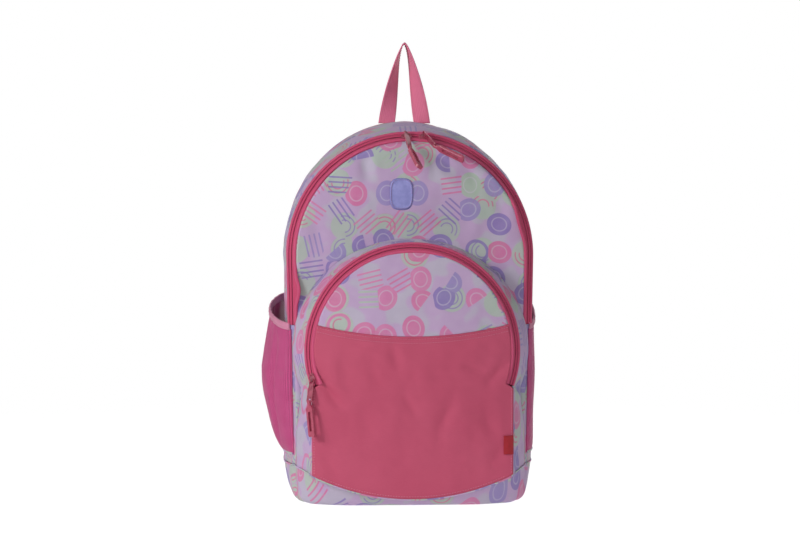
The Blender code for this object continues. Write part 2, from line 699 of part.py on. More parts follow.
def lock_mesh():
    """Ladder lock: a frame with two slots round a middle bar, and a raised lip."""
    w, h, t = LOCK_WIDTH / 2, LOCK_HEIGHT / 2, LOCK_WALL
    base = box_object("lock_base", (0, 0, 0), (2 * w, 2 * h, t))
    bevel(base, 0.0012, 2)
    slot_w = WEBBING_WIDTH + 0.0016
    cuts = [box_object("lock_slot_top", (0, h - 0.0085, 0), (slot_w, 0.0060, 3 * t)),
            box_object("lock_slot_low", (0, -h + 0.0105, 0), (slot_w, 0.0080, 3 * t))]
    lip = box_object("lock_lip", (0, -h + 0.0030, t * 0.55), (2 * w - 0.004, 0.0036, t))
    lip.rotation_euler = (math.radians(-24), 0, 0)
    bevel(lip, 0.0006, 1)
    return combined("ladder_lock", base, [lip], cuts)


def make_straps(lock):
    """Shoulder straps: top tab, neck, pad, ladder lock, adjusting webbing and lower tab."""
    half_lock = LOCK_HEIGHT / 2
    for name, side in (("left", -1), ("right", 1)):
        def put(point):
            return Vector((side * point[0], point[1], point[2]))

        top, foot = put(STRAP_TOP), put(STRAP_FOOT)
        tab("strap_top_tab_" + name, top.x, STRAP_TOP[2], STRAP_TOP[2] + TAB_HEIGHT,
            BACK_FACE_Y + CLEAR, WEBBING)
        tab("strap_foot_tab_" + name, foot.x, FOOT_TAB_LOW_Z, STRAP_FOOT[2],
            BACK_Y + CLEAR, WEBBING)
        pad = smooth_route([put((x, y, STRAP_TOP[2] - drop)) for x, y, drop in STRAP_ROUTE], 3)
        lead = (pad[1] - pad[0]).normalized()
        level = Vector((1, 0, 0))
        pad_across = lead.cross(Vector((0, 1, 0))).normalized()
        neck = smooth_route([top - Vector((0, 0, TAB_GAP)), top + Vector((0, 0.0035, -0.0085)),
                             pad[0] - lead * 2 * CLEAR], 3)
        ribbon("strap_neck_" + name, neck, lambda t: WEBBING_WIDTH, WEBBING_WALL, WEBBING,
               lambda t: level.lerp(pad_across, t))
        ribbon("strap_pad_" + name, pad, pad_width, STRAP_WALL, PRINT)

        down = (pad[-1] - pad[-2]).normalized()
        across = down.cross(Vector((0, 1, 0))).normalized()
        out = across.cross(down)
        out = out if out.y > 0 else -out
        centre = pad[-1] + down * (LOCK_DROP + half_lock)
        hardware("ladder_lock_" + name, lock, BUCKLE, frame_matrix(centre, out.cross(down), out))

        def at(up, outward):
            return centre - down * up + out * outward

        layer = LOCK_WALL / 2 + CLEAR + WEBBING_WALL / 2
        high = half_lock + LOCK_DROP - 2 * CLEAR
        slot = half_lock - 0.0085
        loop = [at(high, layer), at(half_lock - 0.002, layer), at(slot + 0.0012, layer),
                at(slot, layer - 0.0012), at(slot, -layer + 0.0012),
                at(slot + 0.0012, -layer), at(half_lock - 0.002, -layer), at(high, -layer)]
        ribbon("strap_loop_" + name, loop, lambda t: WEBBING_WIDTH, WEBBING_WALL, WEBBING,
               lambda t: across)

        back = layer + WEBBING_WALL + CLEAR
        bar_top, bar_low = half_lock - 0.0115, -half_lock + 0.0145
        over, under, turn = bar_top + 0.0013, bar_low - 0.0013, 0.0008
        below = -half_lock - 0.004
        route = [foot + Vector((0, 0, TAB_GAP)), at(below, -back), at(over - turn, -back),
                 at(over, -back + turn), at(over, layer - turn), at(over - turn, layer),
                 at(under + turn, layer), at(under, layer - turn), at(under, -layer + turn),
                 at(under - turn, -layer), at(below, -layer)]
        fall = (route[0] - route[1]).normalized()
        route += [route[-1] + fall * TAIL_LENGTH * share + Vector((0, 0.006 * share, 0))
                  for share in (0.5, 1.0)]
        ribbon("strap_webbing_" + name, route, lambda t: WEBBING_WIDTH, WEBBING_WALL, WEBBING,
               lambda t: level if t == 0 else across)


def pad_width(t):
    """Width of a shoulder pad: narrow at its neck, full in the middle, tapering to its lock."""
    start = min(t / 0.18, 1.0)
    end = min((1 - t) / 0.22, 1.0)
    narrow = STRAP_WIDTH * 0.52
    ease = math.sin(math.pi / 2 * start) * math.sin(math.pi / 2 * end)
    return narrow + (STRAP_WIDTH - narrow) * ease


# ---------------------------------------------------------------- small hardware
def box_object(name, centre, size):
    bm = bmesh.new()
    bmesh.ops.create_cube(bm, size=1.0)
    bmesh.ops.scale(bm, vec=size, verts=bm.verts)
    mesh = bpy.data.meshes.new(name)
    bm.to_mesh(mesh)
    bm.free()
    item = bpy.data.objects.new(name, mesh)
    CUTTERS.objects.link(item)
    item.location = centre
    item.hide_render = True
    item.display_type = "WIRE"
    return item


def outline_object(name, outline, thickness, centre=(0, 0, 0)):
    """Upright prism: an (x, y) outline with a thickness along z, as a mesh."""
    bm = bmesh.new()
    verts = [bm.verts.new((x, y, -thickness / 2)) for x, y in outline]
    face = bm.faces.new(verts)
    made = bmesh.ops.extrude_face_region(bm, geom=[face])
    moved = [v for v in made["geom"] if isinstance(v, bmesh.types.BMVert)]
    bmesh.ops.translate(bm, verts=moved, vec=(0, 0, thickness))
    bmesh.ops.recalc_face_normals(bm, faces=bm.faces)
    mesh = bpy.data.meshes.new(name)
    bm.to_mesh(mesh)
    bm.free()
    item = bpy.data.objects.new(name, mesh)
    CUTTERS.objects.link(item)
    item.location = centre
    item.hide_render = True
    item.display_type = "WIRE"
    return item


def bevel(item, width, segments):
    modifier = item.modifiers.new("edges", "BEVEL")
    modifier.width = width
    modifier.segments = segments
    modifier.limit_method = "ANGLE"
    modifier.angle_limit = math.radians(40)
    return item


def combined(name, base, added, removed):
    """Mesh of the base with pieces joined on and pieces cut out; its operands are removed."""
    for operand, operation in [(p, "UNION") for p in added] + [(p, "DIFFERENCE") for p in removed]:
        modifier = base.modifiers.new(operand.name, "BOOLEAN")
        modifier.operation = operation
        modifier.object = operand
        modifier.solver = "EXACT"
    bpy.context.view_layer.update()
    graph = bpy.context.evaluated_depsgraph_get()
    mesh = bpy.data.meshes.new_from_object(base.evaluated_get(graph))
    mesh.transform(base.matrix_world)
    mesh.name = name
    for item in [base] + added + removed:
        bpy.data.objects.remove(item, do_unlink=True)
    return mesh


DECK = SLIDER_LIFT + PLATE_WALL
BRIDGE_REACH = SLIDER_LENGTH / 2 * 0.70


def bridge_route():
    """Middle line of the bridge: an arch that stands on the slider's upper plate."""
    rise = BRIDGE_HEIGHT - BRIDGE_RADIUS + 0.0004
    route = []
    for i in range(11):
        a = math.pi * (1 - i / 10)
        route.append((BRIDGE_REACH * math.cos(a), 0, DECK - 0.0004 + rise * math.sin(a) ** 0.55))
    return route


def wire_object(name, route, radius):
    """Round wire along a route, as a closed mesh."""
    curve = bpy.data.curves.new(name, "CURVE")
    curve.dimensions = "3D"
    curve.bevel_depth = radius
    curve.bevel_resolution = 1
    curve.use_fill_caps = True
    spline = curve.splines.new("POLY")
    spline.points.add(len(route) - 1)
    for point, place in zip(spline.points, route):
        point.co = (*place, 1.0)
    guide = bpy.data.objects.new(name, curve)
    CUTTERS.objects.link(guide)
    bpy.context.view_layer.update()
    graph = bpy.context.evaluated_depsgraph_get()
    mesh = bpy.data.meshes.new_from_object(guide.evaluated_get(graph))
    bm = bmesh.new()
    bm.from_mesh(mesh)
    bmesh.ops.remove_doubles(bm, verts=bm.verts, dist=0.00001)
    bm.to_mesh(mesh)
    bm.free()
    item = bpy.data.objects.new(name + "_mesh", mesh)
    item.matrix_world = guide.matrix_world
    CUTTERS.objects.link(item)
    bpy.data.objects.remove(guide, do_unlink=True)
    item.hide_render = True
    item.display_type = "WIRE"
    return item


def slider_mesh():
    """Zip slider: two plates on a thin web, with a bridge for the pull. x runs along the zip,
    y across it and z outwards, with z = 0 on the tapes' outer face."""
    half, w = SLIDER_LENGTH / 2, SLIDER_WIDTH / 2
    shield = [(-half, -w * 0.62), (half * 0.35, -w), (half * 0.8, -w * 0.8), (half, -w * 0.3),
              (half, w * 0.3), (half * 0.8, w * 0.8), (half * 0.35, w), (-half, w * 0.62)]
    top_z = SLIDER_LIFT + PLATE_WALL / 2
    low_z = -(TAPE_WALL + CLEAR + COIL_WALL + SLIDER_LIFT + PLATE_WALL / 2)
    top = outline_object("slider_top", shield, PLATE_WALL, (0, 0, top_z))
    bevel(top, 0.0003, 1)
    low = outline_object("slider_low", shield, PLATE_WALL, (0, 0, low_z))
    web = box_object("slider_web", (half * 0.45, 0, (top_z + low_z) / 2),
                     (0.0030, WEB_WALL, top_z - low_z))
    bridge = wire_object("slider_bridge", bridge_route(), BRIDGE_RADIUS)
    return combined("slider", top, [low, web, bridge], [])


def puller_mesh():
    """Flat metal pull hanging along -y: an eye round the bridge at the origin, a shoulder where
    it widens, and at its lower end a bar that the tip's bail goes round."""
    w, low = PULLER_WIDTH / 2, -PULLER_LENGTH
    narrow = PULLER_HEAD_WIDTH / 2
    head = EYE_HEIGHT / 2 + EYE_WALL
    right = [(narrow * 0.70, head), (narrow, head - 0.0012), (narrow, -0.0040), (w, -0.0080),
             (w, low + 0.0022), (w * 0.70, low)]
    outline = right + [(-x, y) for x, y in reversed(right)]
    base = outline_object("puller_plate", outline, PULLER_WALL)
    bevel(base, 0.0002, 1)
    eye = box_object("puller_eye", (0, 0, 0), (EYE_WIDTH, EYE_HEIGHT, 0.006))
    hole_mid = low + END_BAR + BAIL_HOLE / 2
    hole = box_object("puller_hole", (0, hole_mid, 0), (BAIL_WIDTH + 0.0006, BAIL_HOLE, 0.006))
    relief_top, relief_low = -EYE_HEIGHT / 2 - 0.0062, hole_mid + BAIL_HOLE / 2 + 0.0014
    relief = box_object("puller_relief", (0, (relief_top + relief_low) / 2, PULLER_WALL / 2),
                        (w * 1.2, relief_top - relief_low, 0.0006))
    return combined("puller", base, [], [eye, hole, relief])


def tip_mesh():
    """Moulded grip with a slot down its middle; its bail goes round the pull's end bar, whose
    middle is the origin."""
    w, low = TIP_WIDTH / 2, -TIP_LENGTH
    neck = BAIL_WIDTH / 2
    top = BAIL_GAP / 2 + BAIL_WALL
    outline = [(-neck, top), (neck, top), (neck, -0.0034), (w, -0.0080), (w, low + 0.0020),
               (w * 0.75, low), (-w * 0.75, low), (-w, low + 0.0020), (-w, -0.0080),
               (-neck, -0.0034)]
    base = outline_object("tip_body", outline, TIP_WALL)
    bevel(base, 0.0004, 1)
    slot = box_object("tip_slot", (0, low * 0.56, 0), (w * 0.72, TIP_LENGTH * 0.56, TIP_WALL * 3))
    bail = box_object("tip_bail", (0, 0, 0), (TIP_WIDTH * 2, BAIL_GAP, TIP_WALL - 2 * BAIL_WALL))
    return combined("tip", base, [], [slot, bail])


def frame_matrix(origin, along, outward):
    """Placement whose x runs along a direction and whose z points outwards."""
    z = Vector(outward).normalized()
    x = Vector(along)
    x = (x - z * x.dot(z)).normalized()
    y = z.cross(x)
    basis = Matrix((x, y, z)).transposed().to_4x4()
    return Matrix.Translation(Vector(origin)) @ basis


def hardware(name, mesh, finish, matrix):
    item = new_object(name, mesh, finish)
    item.matrix_world = matrix
    return item


def zip_frame(radius, centre_z, zip_y, angle, clockwise):
    """Place of a slider on a zip's slanted face, nose first in its closing direction."""
    a = math.radians(angle)
    radial = Vector((math.cos(a), 0, math.sin(a)))
    outward = radial * math.sin(SLANT) + Vector((0, -math.cos(SLANT), 0))
    along = Vector((math.sin(a), 0, -math.cos(a))) * (1 if clockwise else -1)
    origin = Vector((radius * math.cos(a), zip_y, centre_z + radius * math.sin(a)))
    return frame_matrix(origin, along, outward), outward


BRIDGE_TOP = DECK + BRIDGE_HEIGHT - BRIDGE_RADIUS


def hang_pull(name, anchor, side, puller, tip):
    """Metal pull hanging from a bridge, turning about side, and the tip on its end bar."""
    down, tip_down, _ = (Vector(v) if isinstance(v, tuple) else v for v in PULLS[name])
    down.normalize()
    side = (side - down * side.dot(down)).normalized()
    hardware("puller_" + name, puller, METAL, frame_matrix(anchor, side, down.cross(side)))
    bar = anchor + down * (PULLER_LENGTH - END_BAR / 2)
    tip_down = (tip_down - side * tip_down.dot(side)).normalized()
    hardware("pull_tip_" + name, tip, TIP, frame_matrix(bar, side, tip_down.cross(side)))


def make_sliders():
    slider, puller, tip = slider_mesh(), puller_mesh(), tip_mesh()
    for name, angle, clockwise in (("left", LEFT_SLIDER_ANGLE, True),
                                   ("right", RIGHT_SLIDER_ANGLE, False)):
        matrix, outward = zip_frame(ARCH_RADIUS, ARCH_CENTRE_Z, ZIP_Y, angle, clockwise)
        hardware("slider_" + name, slider, METAL, matrix)
        a = math.radians(angle)
        down = Vector(PULLS[name][0]).normalized()
        edge_on = down.cross(Vector((math.sin(a), 0, -math.cos(a))))
        side = Matrix.Rotation(math.radians(PULLS[name][2]), 3, down) @ edge_on
        hang_pull(name, matrix @ Vector((0, 0, BRIDGE_TOP)), side, puller, tip)
    matrix, outward = zip_frame(POCKET_RADIUS, POCKET_CENTRE_Z, POCKET_ZIP_Y,
                                180 + POCKET_ZIP_END - POCKET_SLIDER_BACK, False)
    hardware("slider_pocket", slider, METAL, matrix)
    anchor = matrix @ Vector((BRIDGE_REACH, 0, DECK + 0.0017 + PULLER_WALL / 2))
    hang_pull("pocket", anchor, outward.cross(Vector((0, 0, -1))), puller, tip)


def make_patches():
    """Plain patch on the front panel, and a plain ribbon tab in the pocket's side seam."""
    cx, cz = BADGE_CENTRE
    outline = []
    for i in range(24):
        a = 2 * math.pi * i / 24
        outline.append((cx + BADGE_SIZE[0] / 2 * math.copysign(abs(math.cos(a)) ** 0.6, math.cos(a)),
                        cz + BADGE_SIZE[1] / 2 * math.copysign(abs(math.sin(a)) ** 0.6, math.sin(a))))
    crowned_panel("patch", outline, lambda x, z: panel_crown(x, z) - BADGE_WALL - 3 * CLEAR,
                  BADGE_WALL, PATCH, 3)
    width, height = LABEL_SIZE
    foot = POCKET_HALF_WIDTH - SEAM
    rows = []
    for i in range(4):
        x = foot - width * i / 3
        rows.append([Vector((x, pocket_crown(x, z) - LABEL_WALL - 3 * CLEAR, z))
                     for z in (LABEL_Z - height / 2, LABEL_Z, LABEL_Z + height / 2)])
    sheet("side_tab", rows, LABEL_WALL, LABEL, (0.1, 5, LABEL_Z))


make_main_zip()
make_body()
make_bottom()
make_front_panels()
BACK_FACE_Y = make_back()
make_pocket()
make_side_pockets()
make_haul_loop()
make_sliders()
make_straps(lock_mesh())
make_patches()
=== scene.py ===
"""Looks of the school backpack: cloth, seams, zips, mesh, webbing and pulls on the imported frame."""
import math

import bmesh
import bpy
import numpy as np
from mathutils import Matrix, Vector


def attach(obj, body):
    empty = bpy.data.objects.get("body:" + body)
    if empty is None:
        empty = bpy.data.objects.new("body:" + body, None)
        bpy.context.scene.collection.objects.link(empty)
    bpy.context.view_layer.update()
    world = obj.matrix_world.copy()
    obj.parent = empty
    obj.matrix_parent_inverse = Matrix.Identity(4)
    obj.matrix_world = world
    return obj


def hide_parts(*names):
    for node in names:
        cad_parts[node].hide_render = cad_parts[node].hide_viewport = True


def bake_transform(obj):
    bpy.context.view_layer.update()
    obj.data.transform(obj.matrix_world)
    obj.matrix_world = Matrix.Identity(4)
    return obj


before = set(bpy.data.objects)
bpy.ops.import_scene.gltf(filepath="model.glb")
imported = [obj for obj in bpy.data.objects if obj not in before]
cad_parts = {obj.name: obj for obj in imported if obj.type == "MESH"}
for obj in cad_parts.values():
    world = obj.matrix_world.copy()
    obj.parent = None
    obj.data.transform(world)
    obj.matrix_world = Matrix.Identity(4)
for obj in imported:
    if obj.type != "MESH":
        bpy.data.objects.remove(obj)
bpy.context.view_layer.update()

# ---------------------------------------------------------------- sizes, as the solids have them
ARCH_RADIUS, ARCH_Z = 0.1385, 0.2895
FOOT_X, SIDE_SEAM_Z = 0.1345, 0.045
ZIP_END_Z, HINGE_Z = 0.209, 0.325
FRONT_Y, ZIP_Y, BACK_Y = -0.0640, -0.0582, 0.0735
# depth behind the zip, swell sideways, rise at the top
PROFILE = np.array([(0.0, 0.0, 0.0), (0.0064, 0.0046, 0.0055), (0.0230, 0.0070, 0.0108),
                    (0.0530, 0.0082, 0.0155), (0.0880, 0.0080, 0.0182), (0.1317, 0.0050, 0.0184)])
BODY_DEPTH = 0.1317
REACH, SLIT = 0.0058, 0.0006
SLOPE = math.sqrt(0.5)
TAPE_EDGE = REACH * SLOPE
SEAM_GAP = 0.0007
PANEL_CROWN, POCKET_CROWN = 0.0058, 0.0125
POCKET_Z, POCKET_RADIUS = 0.182, 0.1187
POCKET_END = math.radians(19.6)
POCKET_X, POCKET_Y = 0.1168, -0.1085
POCKET_FOOT_Z, SEAM_LOW_Z = 0.038, 0.010
POCKET_ZIP_Y = POCKET_Y + TAPE_EDGE - 0.0006
YOKE_Z, YOKE_LIFT = 0.1990, 0.0150
MESH_FRONT, MESH_REAR, MESH_FOOT = -0.0560, 0.0620, 0.058
RIM_FRONT, RIM_REAR = 0.2035, 0.2320
MESH_SWELL = {"left": 0.0290, "right": 0.0066}
LOOP_WIDTH, LOOP_X, LOOP_Y, LOOP_FOOT_Z, LOOP_TOP_Z = 0.0200, 0.0215, 0.0660, 0.44461, 0.54137
BOTTOM_DROP = 0.0012
WEBBING = 0.0250
BACK_FACE = 0.0718

CLOTH_WALL, TAPE_WALL, BAND_WALL = 0.0012, 0.0007, 0.0014
EDGE_FLATNESS = 0.62
COIL_PITCH = 0.0017
QUILT_LOW, QUILT_PITCH = 0.060, 0.036
SIDES = (("left", -1), ("right", 1))
FORWARD, BACKWARD = np.array([0.0, -1.0, 0.0]), np.array([0.0, 1.0, 0.0])
FORWARD_AND_UP = np.array([0.0, -1.0, 0.15])
LEVEL = np.array([1.0, 0.0, 0.0])


# ---------------------------------------------------------------- shader arithmetic
class Flow:
    """A shader value that adds its own Math nodes when it is used in an expression."""

    def __init__(self, shading, socket):
        self.shading, self.socket = shading, socket

    def op(self, kind, *others):
        return self.shading.node("Math", {"operation": kind}, (self,) + others)

    def __add__(self, other):
        return self.op("ADD", other)

    def __mul__(self, other):
        return self.op("MULTIPLY", other)

    __radd__, __rmul__ = __add__, __mul__

    def __sub__(self, other):
        return self.op("SUBTRACT", other)

    def __rsub__(self, other):
        return self.shading.node("Math", {"operation": "SUBTRACT"}, (other, self))

    def __truediv__(self, other):
        return self.op("DIVIDE", other)

    def __abs__(self):
        return self.op("ABSOLUTE")

    def sine(self):
        return self.op("SINE")

    def root(self):
        return self.op("SQRT")

    def fraction(self):
        return self.op("FRACT")

    def over(self, edge, soft=0.03):
        """0 below the edge and 1 above it, easing over a width of twice soft."""
        return self.shading.node("MapRange", {"interpolation_type": "SMOOTHSTEP"},
                                 {"Value": self, "From Min": edge - soft, "From Max": edge + soft})

    def under(self, edge, soft=0.03):
        return 1.0 - self.over(edge, soft)

    def output(self, name):
        """Another output of the node that this value comes from."""
        return Flow(self.shading, self.socket.node.outputs[name])


def linear(colour):
    """Colour as the screen shows it, 0 to 255, turned into linear light, and opaque."""
    share = [c / 255 for c in colour]
    return (*(c / 12.92 if c <= 0.04045 else ((c + 0.055) / 1.055) ** 2.4 for c in share), 1.0)


class Shading:
    """Adds nodes to one node tree; colours are written as the screen shows them."""

    def __init__(self, tree):
        self.tree = tree

    def node(self, kind, settings=None, inputs=(), out=0):
        """Adds a node: settings first, then its sockets from a tuple or a dictionary."""
        made = self.tree.nodes.new("ShaderNode" + kind)
        for key, value in (settings or {}).items():
            setattr(made, key, value)
        pairs = inputs.items() if isinstance(inputs, dict) else enumerate(inputs)
        for key, value in pairs:
            if isinstance(value, Flow):
                self.tree.links.new(value.socket, made.inputs[key])
            else:
                made.inputs[key].default_value = value
        return Flow(self, made.outputs[out]) if made.outputs else None

    def steps(self, value, stops):
        """Colour that changes at once at each stop's place."""
        made = self.node("ValToRGB", None, (value,))
        ramp = made.socket.node.color_ramp
        ramp.interpolation = "CONSTANT"
        while len(ramp.elements) < len(stops):
            ramp.elements.new(0.5)
        for element, (place, colour) in zip(ramp.elements, stops):
            element.position, element.color = place, linear(colour)
        return made

    def mix(self, share, low, high):
        """Colour mix; low and high are colours or flows."""
        low, high = (linear(c) if isinstance(c, tuple) else c for c in (low, high))
        return self.node("Mix", {"data_type": "RGBA"}, {0: share, 6: low, 7: high}, 2)

    def vector(self, kind, a, b):
        return self.node("VectorMath", {"operation": kind}, (a, b))

    def parts(self, vector):
        made = self.node("SeparateXYZ", None, (vector,))
        return [made.output(i) for i in range(3)]

    def uv(self):
        return self.node("UVMap", {"uv_map": "metres"})

    def place(self):
        return self.node("TexCoord", None, (), 3)

    def noise(self, where, scale, detail=3.0, rough=0.5):
        return self.node("TexNoise", None, {"Vector": where, "Scale": scale, "Detail": detail,
                                            "Roughness": rough})


class Finish(Shading):
    """One procedural material on a Principled shader."""

    def __init__(self, name, roughness=0.7, metallic=0.0, coat=0.0, sheen=0.0, specular=0.5):
        self.material = bpy.data.materials.new(name)
        self.material.use_nodes = True
        super().__init__(self.material.node_tree)
        self.shader = self.tree.nodes["Principled BSDF"]
        for socket, value in (("Roughness", roughness), ("Metallic", metallic),
                              ("Coat Weight", coat), ("Coat Roughness", 0.25),
                              ("Sheen Weight", sheen), ("Sheen Roughness", 0.4),
                              ("Specular IOR Level", specular)):
            self.shader.inputs[socket].default_value = value

    def feed(self, socket, flow):
        self.tree.links.new(flow.socket, self.shader.inputs[socket])

    def relief(self, height, distance, strength=1.0):
        self.feed("Normal", self.node("Bump", None, {"Height": height, "Distance": distance,
                                                     "Strength": strength}))


def weave(finish, uv, pitch):
    """Height of a plain weave: crossed sines, each thread humping over the next."""
    u, v, _ = finish.parts(uv)
    turn = 2 * math.pi / pitch
    return (u * turn).sine() * (v * turn).sine()


def scattered(finish, uv, size, randomness, shift):
    """Cells of a random scatter: two random numbers, and the place within the turned cell."""
    cell = finish.vector("ADD", finish.vector("MULTIPLY", uv, (1 / size,) * 3), shift)
    cells = finish.node("TexVoronoi", {"voronoi_dimensions": "2D"},
                        {"Vector": cell, "Scale": 1.0, "Randomness": randomness})
    kind, turn, tint = finish.parts(cells.output("Color"))
    local = finish.vector("SUBTRACT", cell, cells.output("Position"))
    turned = finish.node("VectorRotate", {"rotation_type": "Z_AXIS"},
                         {"Vector": local, "Angle": turn * 6.283})
    x, y, _ = finish.parts(turned)
    return kind, tint, x, y


def printed_cloth():
    """Lilac cloth with discs, half discs, rings and bars over patches with arcs, in pastels."""
    made = Finish("printed_cloth", 0.62, sheen=0.12, specular=0.3)
    uv = made.uv()
    soft = 0.012
    kind, tint, x, y = scattered(made, uv, 0.0325, 0.60, (0.0, 0.0, 0.0))
    reach = (x * x + y * y * 1.30).root()
    disc = reach.under(0.45, soft)
    half = disc * x.over(-0.04, soft)
    ring = disc * reach.over(0.33, soft)
    bars = abs(y).under(0.42, soft) * abs(x).under(0.36, soft) * abs(
        (x * 5.6).fraction() - 0.5).under(0.17, 0.05)
    pick_half, pick_ring, pick_bars = (kind.over(edge, 0.001) for edge in (0.44, 0.60, 0.72))
    shape = (disc * (1.0 - pick_half) + half * (pick_half - pick_ring)
             + ring * (pick_ring - pick_bars) + bars * pick_bars)
    tone = made.steps(tint, ((0.0, (136, 116, 180)), (0.30, (208, 112, 160)),
                             (0.62, (150, 134, 190)), (0.76, (210, 120, 168)),
                             (0.96, (170, 186, 170))))
    circle = abs(reach - 0.27).under(0.022, 0.014) * (1.0 - pick_ring)
    tone = made.mix(circle * 0.50, tone, (206, 198, 212))
    cloud = made.noise(uv, 30.0, 1.0)
    ground = made.mix(cloud.over(0.53, 0.04), (190, 161, 198), (186, 176, 196))
    kind, tint, x, y = scattered(made, uv, 0.0430, 0.70, (0.37, 0.61, 0.0))
    reach = (x * x + y * y).root()
    patch = reach.under(0.37, 0.02) * kind.over(0.22, 0.001)
    arcs = abs((reach * 9.0).fraction() - 0.5).under(0.16, 0.06) * patch * y.over(-0.03, 0.01)
    ground = made.mix(patch * 0.8, ground, (172, 188, 172))
    arc_tone = made.mix(tint.over(0.62, 0.01), (206, 104, 146), (146, 128, 184))
    ground = made.mix(arcs * reach.over(0.11, 0.01) * 0.85, ground, arc_tone)
    colour = made.mix(shape * 0.90, ground, tone)
    fade = made.noise(uv, 90.0, 4.0)
    made.feed("Base Color", made.mix((fade - 0.35) * 0.30, colour, (205, 196, 208)))
    made.feed("Roughness", 0.56 + fade * 0.18)
    made.relief(weave(made, uv, 0.0011) + made.noise(uv, 700.0, 2.0) * 0.6, 0.00012, 0.55)
    return made


def plain_cloth(name, low, high, pitch=0.0011, rough=0.66, sheen=0.3):
    """Plain woven cloth: a weave's relief, with a slow change of tone and fine slubs."""
    made = Finish(name, rough, sheen=sheen, specular=0.35)
    uv = made.uv()
    slow = made.noise(uv, 14.0, 2.0)
    fine = made.noise(made.vector("MULTIPLY", uv, (160.0, 1100.0, 1.0)), 1.0, 3.0)
    made.feed("Base Color", made.mix(slow * 0.65 + fine * 0.35, low, high))
    made.feed("Roughness", rough - 0.08 + fine * 0.16)
    made.relief(weave(made, uv, pitch) + fine * 0.8, 0.00014, 0.6)
    return made


def ribbed_webbing(name, low, high, ribs=0.0021, cross=0.0012):
    """Webbing: lengthwise ribs crossed by the weft, with painted shade in the grooves and painted
    light on the ribs.
    """
    made = Finish(name, 0.6, sheen=0.2, specular=0.4)
    u, v, _ = made.parts(made.uv())
    rib = (v * (2 * math.pi / ribs)).sine()
    weft = (u * (2 * math.pi / cross) + rib * 1.2).sine()
    height = rib * 0.6 + weft * 0.4
    grain = made.noise(made.uv(), 240.0, 3.0)
    # painted light and shade: the colour follows the relief's height, paler on the raised ribs and
    # darker in the grooves
    made.feed("Base Color", made.mix((height * 0.22 + 0.5) * 0.75 + grain * 0.25, low, high))
    made.feed("Roughness", 0.52 + grain * 0.2)
    made.relief(height, 0.00022, 0.75)
    return made


def knitted_mesh(name, low, high, pitch):
    """Knitted mesh: small round holes in staggered rows, with a raised yarn round each, given a
    painted highlight.
    """
    made = Finish(name, 0.6, sheen=0.08, specular=0.3)
    u, v, _ = made.parts(made.uv())
    row = v * (2 / pitch)
    shifted = u / pitch + (row * 0.5).fraction().over(0.5, 0.001) * 0.5
    across = shifted.fraction() - 0.5
    up = row.fraction() - 0.5
    reach = (across * across * 1.2 + up * up * 0.5).root()
    hole = reach.under(0.21, 0.03)
    grain = made.noise(made.uv(), 60.0, 3.0)
    # painted highlight and shade: paler on the raised yarn round each hole, darker on the low cloth
    # between the rings
    made.feed("Base Color", made.mix(grain * 0.5 + reach.under(0.40, 0.08) * 0.5, low, high))
    made.feed("Alpha", 1.0 - hole * 0.85)
    made.relief(reach.under(0.42, 0.16) - hole, 0.0003, 0.8)
    return made


def moulded(name, low, high, rough, coat=0.0, grain=900.0, depth=0.00004, metallic=0.0):
    """Moulded or cast surface: a fine grain, with slightly paler worn patches."""
    made = Finish(name, rough, metallic=metallic, coat=coat)
    place = made.place()
    wear = made.noise(place, 160.0, 4.0, 0.6)
    made.feed("Base Color", made.mix(wear.over(0.52, 0.18), low, high))
    made.feed("Roughness", rough - 0.06 + wear * 0.14)
    made.relief(made.noise(place, grain, 2.0), depth, 0.5)
    return made


PRINT = printed_cloth()
PINK = plain_cloth("pink_cloth", (182, 66, 97), (201, 88, 117), sheen=0.10)
ZIP_TAPE = plain_cloth("zip_tape_cloth", (186, 56, 96), (204, 74, 114), 0.0009, sheen=0.1)
LIP = plain_cloth("bound_edge_cloth", (194, 68, 108), (210, 86, 126), 0.0010, sheen=0.15)
HEM = ribbed_webbing("elastic_hem", (200, 122, 154), (214, 142, 170), 0.0016, 0.0010)
STRAP = ribbed_webbing("webbing_cloth", (184, 88, 118), (202, 110, 136))
HANDLE = ribbed_webbing("handle_webbing", (222, 110, 144), (238, 130, 162))
LINING = plain_cloth("lining_cloth", (138, 126, 150), (156, 144, 168), 0.0008)
THREAD = plain_cloth("sewing_thread", (206, 120, 148), (220, 140, 166), 0.0004)
DARK_THREAD = plain_cloth("deep_thread", (150, 60, 90), (170, 76, 106), 0.0004)
NET = knitted_mesh("knitted_mesh", (172, 50, 108), (222, 98, 154), 0.0032)
NET_EDGE = plain_cloth("mesh_seam_cloth", (176, 62, 112), (194, 78, 128), sheen=0.1)
COIL = moulded("zip_coil_plastic", (168, 46, 86), (186, 62, 102), 0.35, 0.2)
ENAMEL = moulded("pink_enamel", (140, 38, 66), (168, 62, 90), 0.28, 0.6, 400.0, 0.00003, 0.15)
GRIP = moulded("soft_grip", (160, 52, 80), (180, 72, 100), 0.42, 0.2, 1400.0)
BUCKLE = moulded("buckle_plastic", (166, 62, 92), (182, 80, 108), 0.40, 0.1)
FOAM = moulded("foam_core", (226, 226, 222), (238, 238, 234), 0.9, 0.0, 500.0, 0.0003)
BADGE = moulded("soft_badge", (128, 128, 190), (144, 144, 204), 0.48, 0.15, 700.0)
RIBBON = plain_cloth("satin_ribbon", (150, 5, 25), (168, 14, 36), 0.0007, 0.45, 0.05)


# ---------------------------------------------------------------- surface helpers
def linked(name, data):
    item = bpy.data.objects.new(name, data)
    bpy.context.scene.collection.objects.link(item)
    return item


def dressed(piece, finish, replaces=(), body="bag"):
    """Gives a piece its material and body and hides the nodes it replaces; a piece of the body
    "bend", the cloth between the bag and its flap, is not attached to a body, and its transform is
    baked into its mesh."""
    piece.data.materials.append(finish.material)
    piece.data.shade_smooth()
    if body != "bend":
        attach(piece, body)
    if replaces:
        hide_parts(*replaces)
    if body == "bend":
        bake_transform(piece)
    return piece


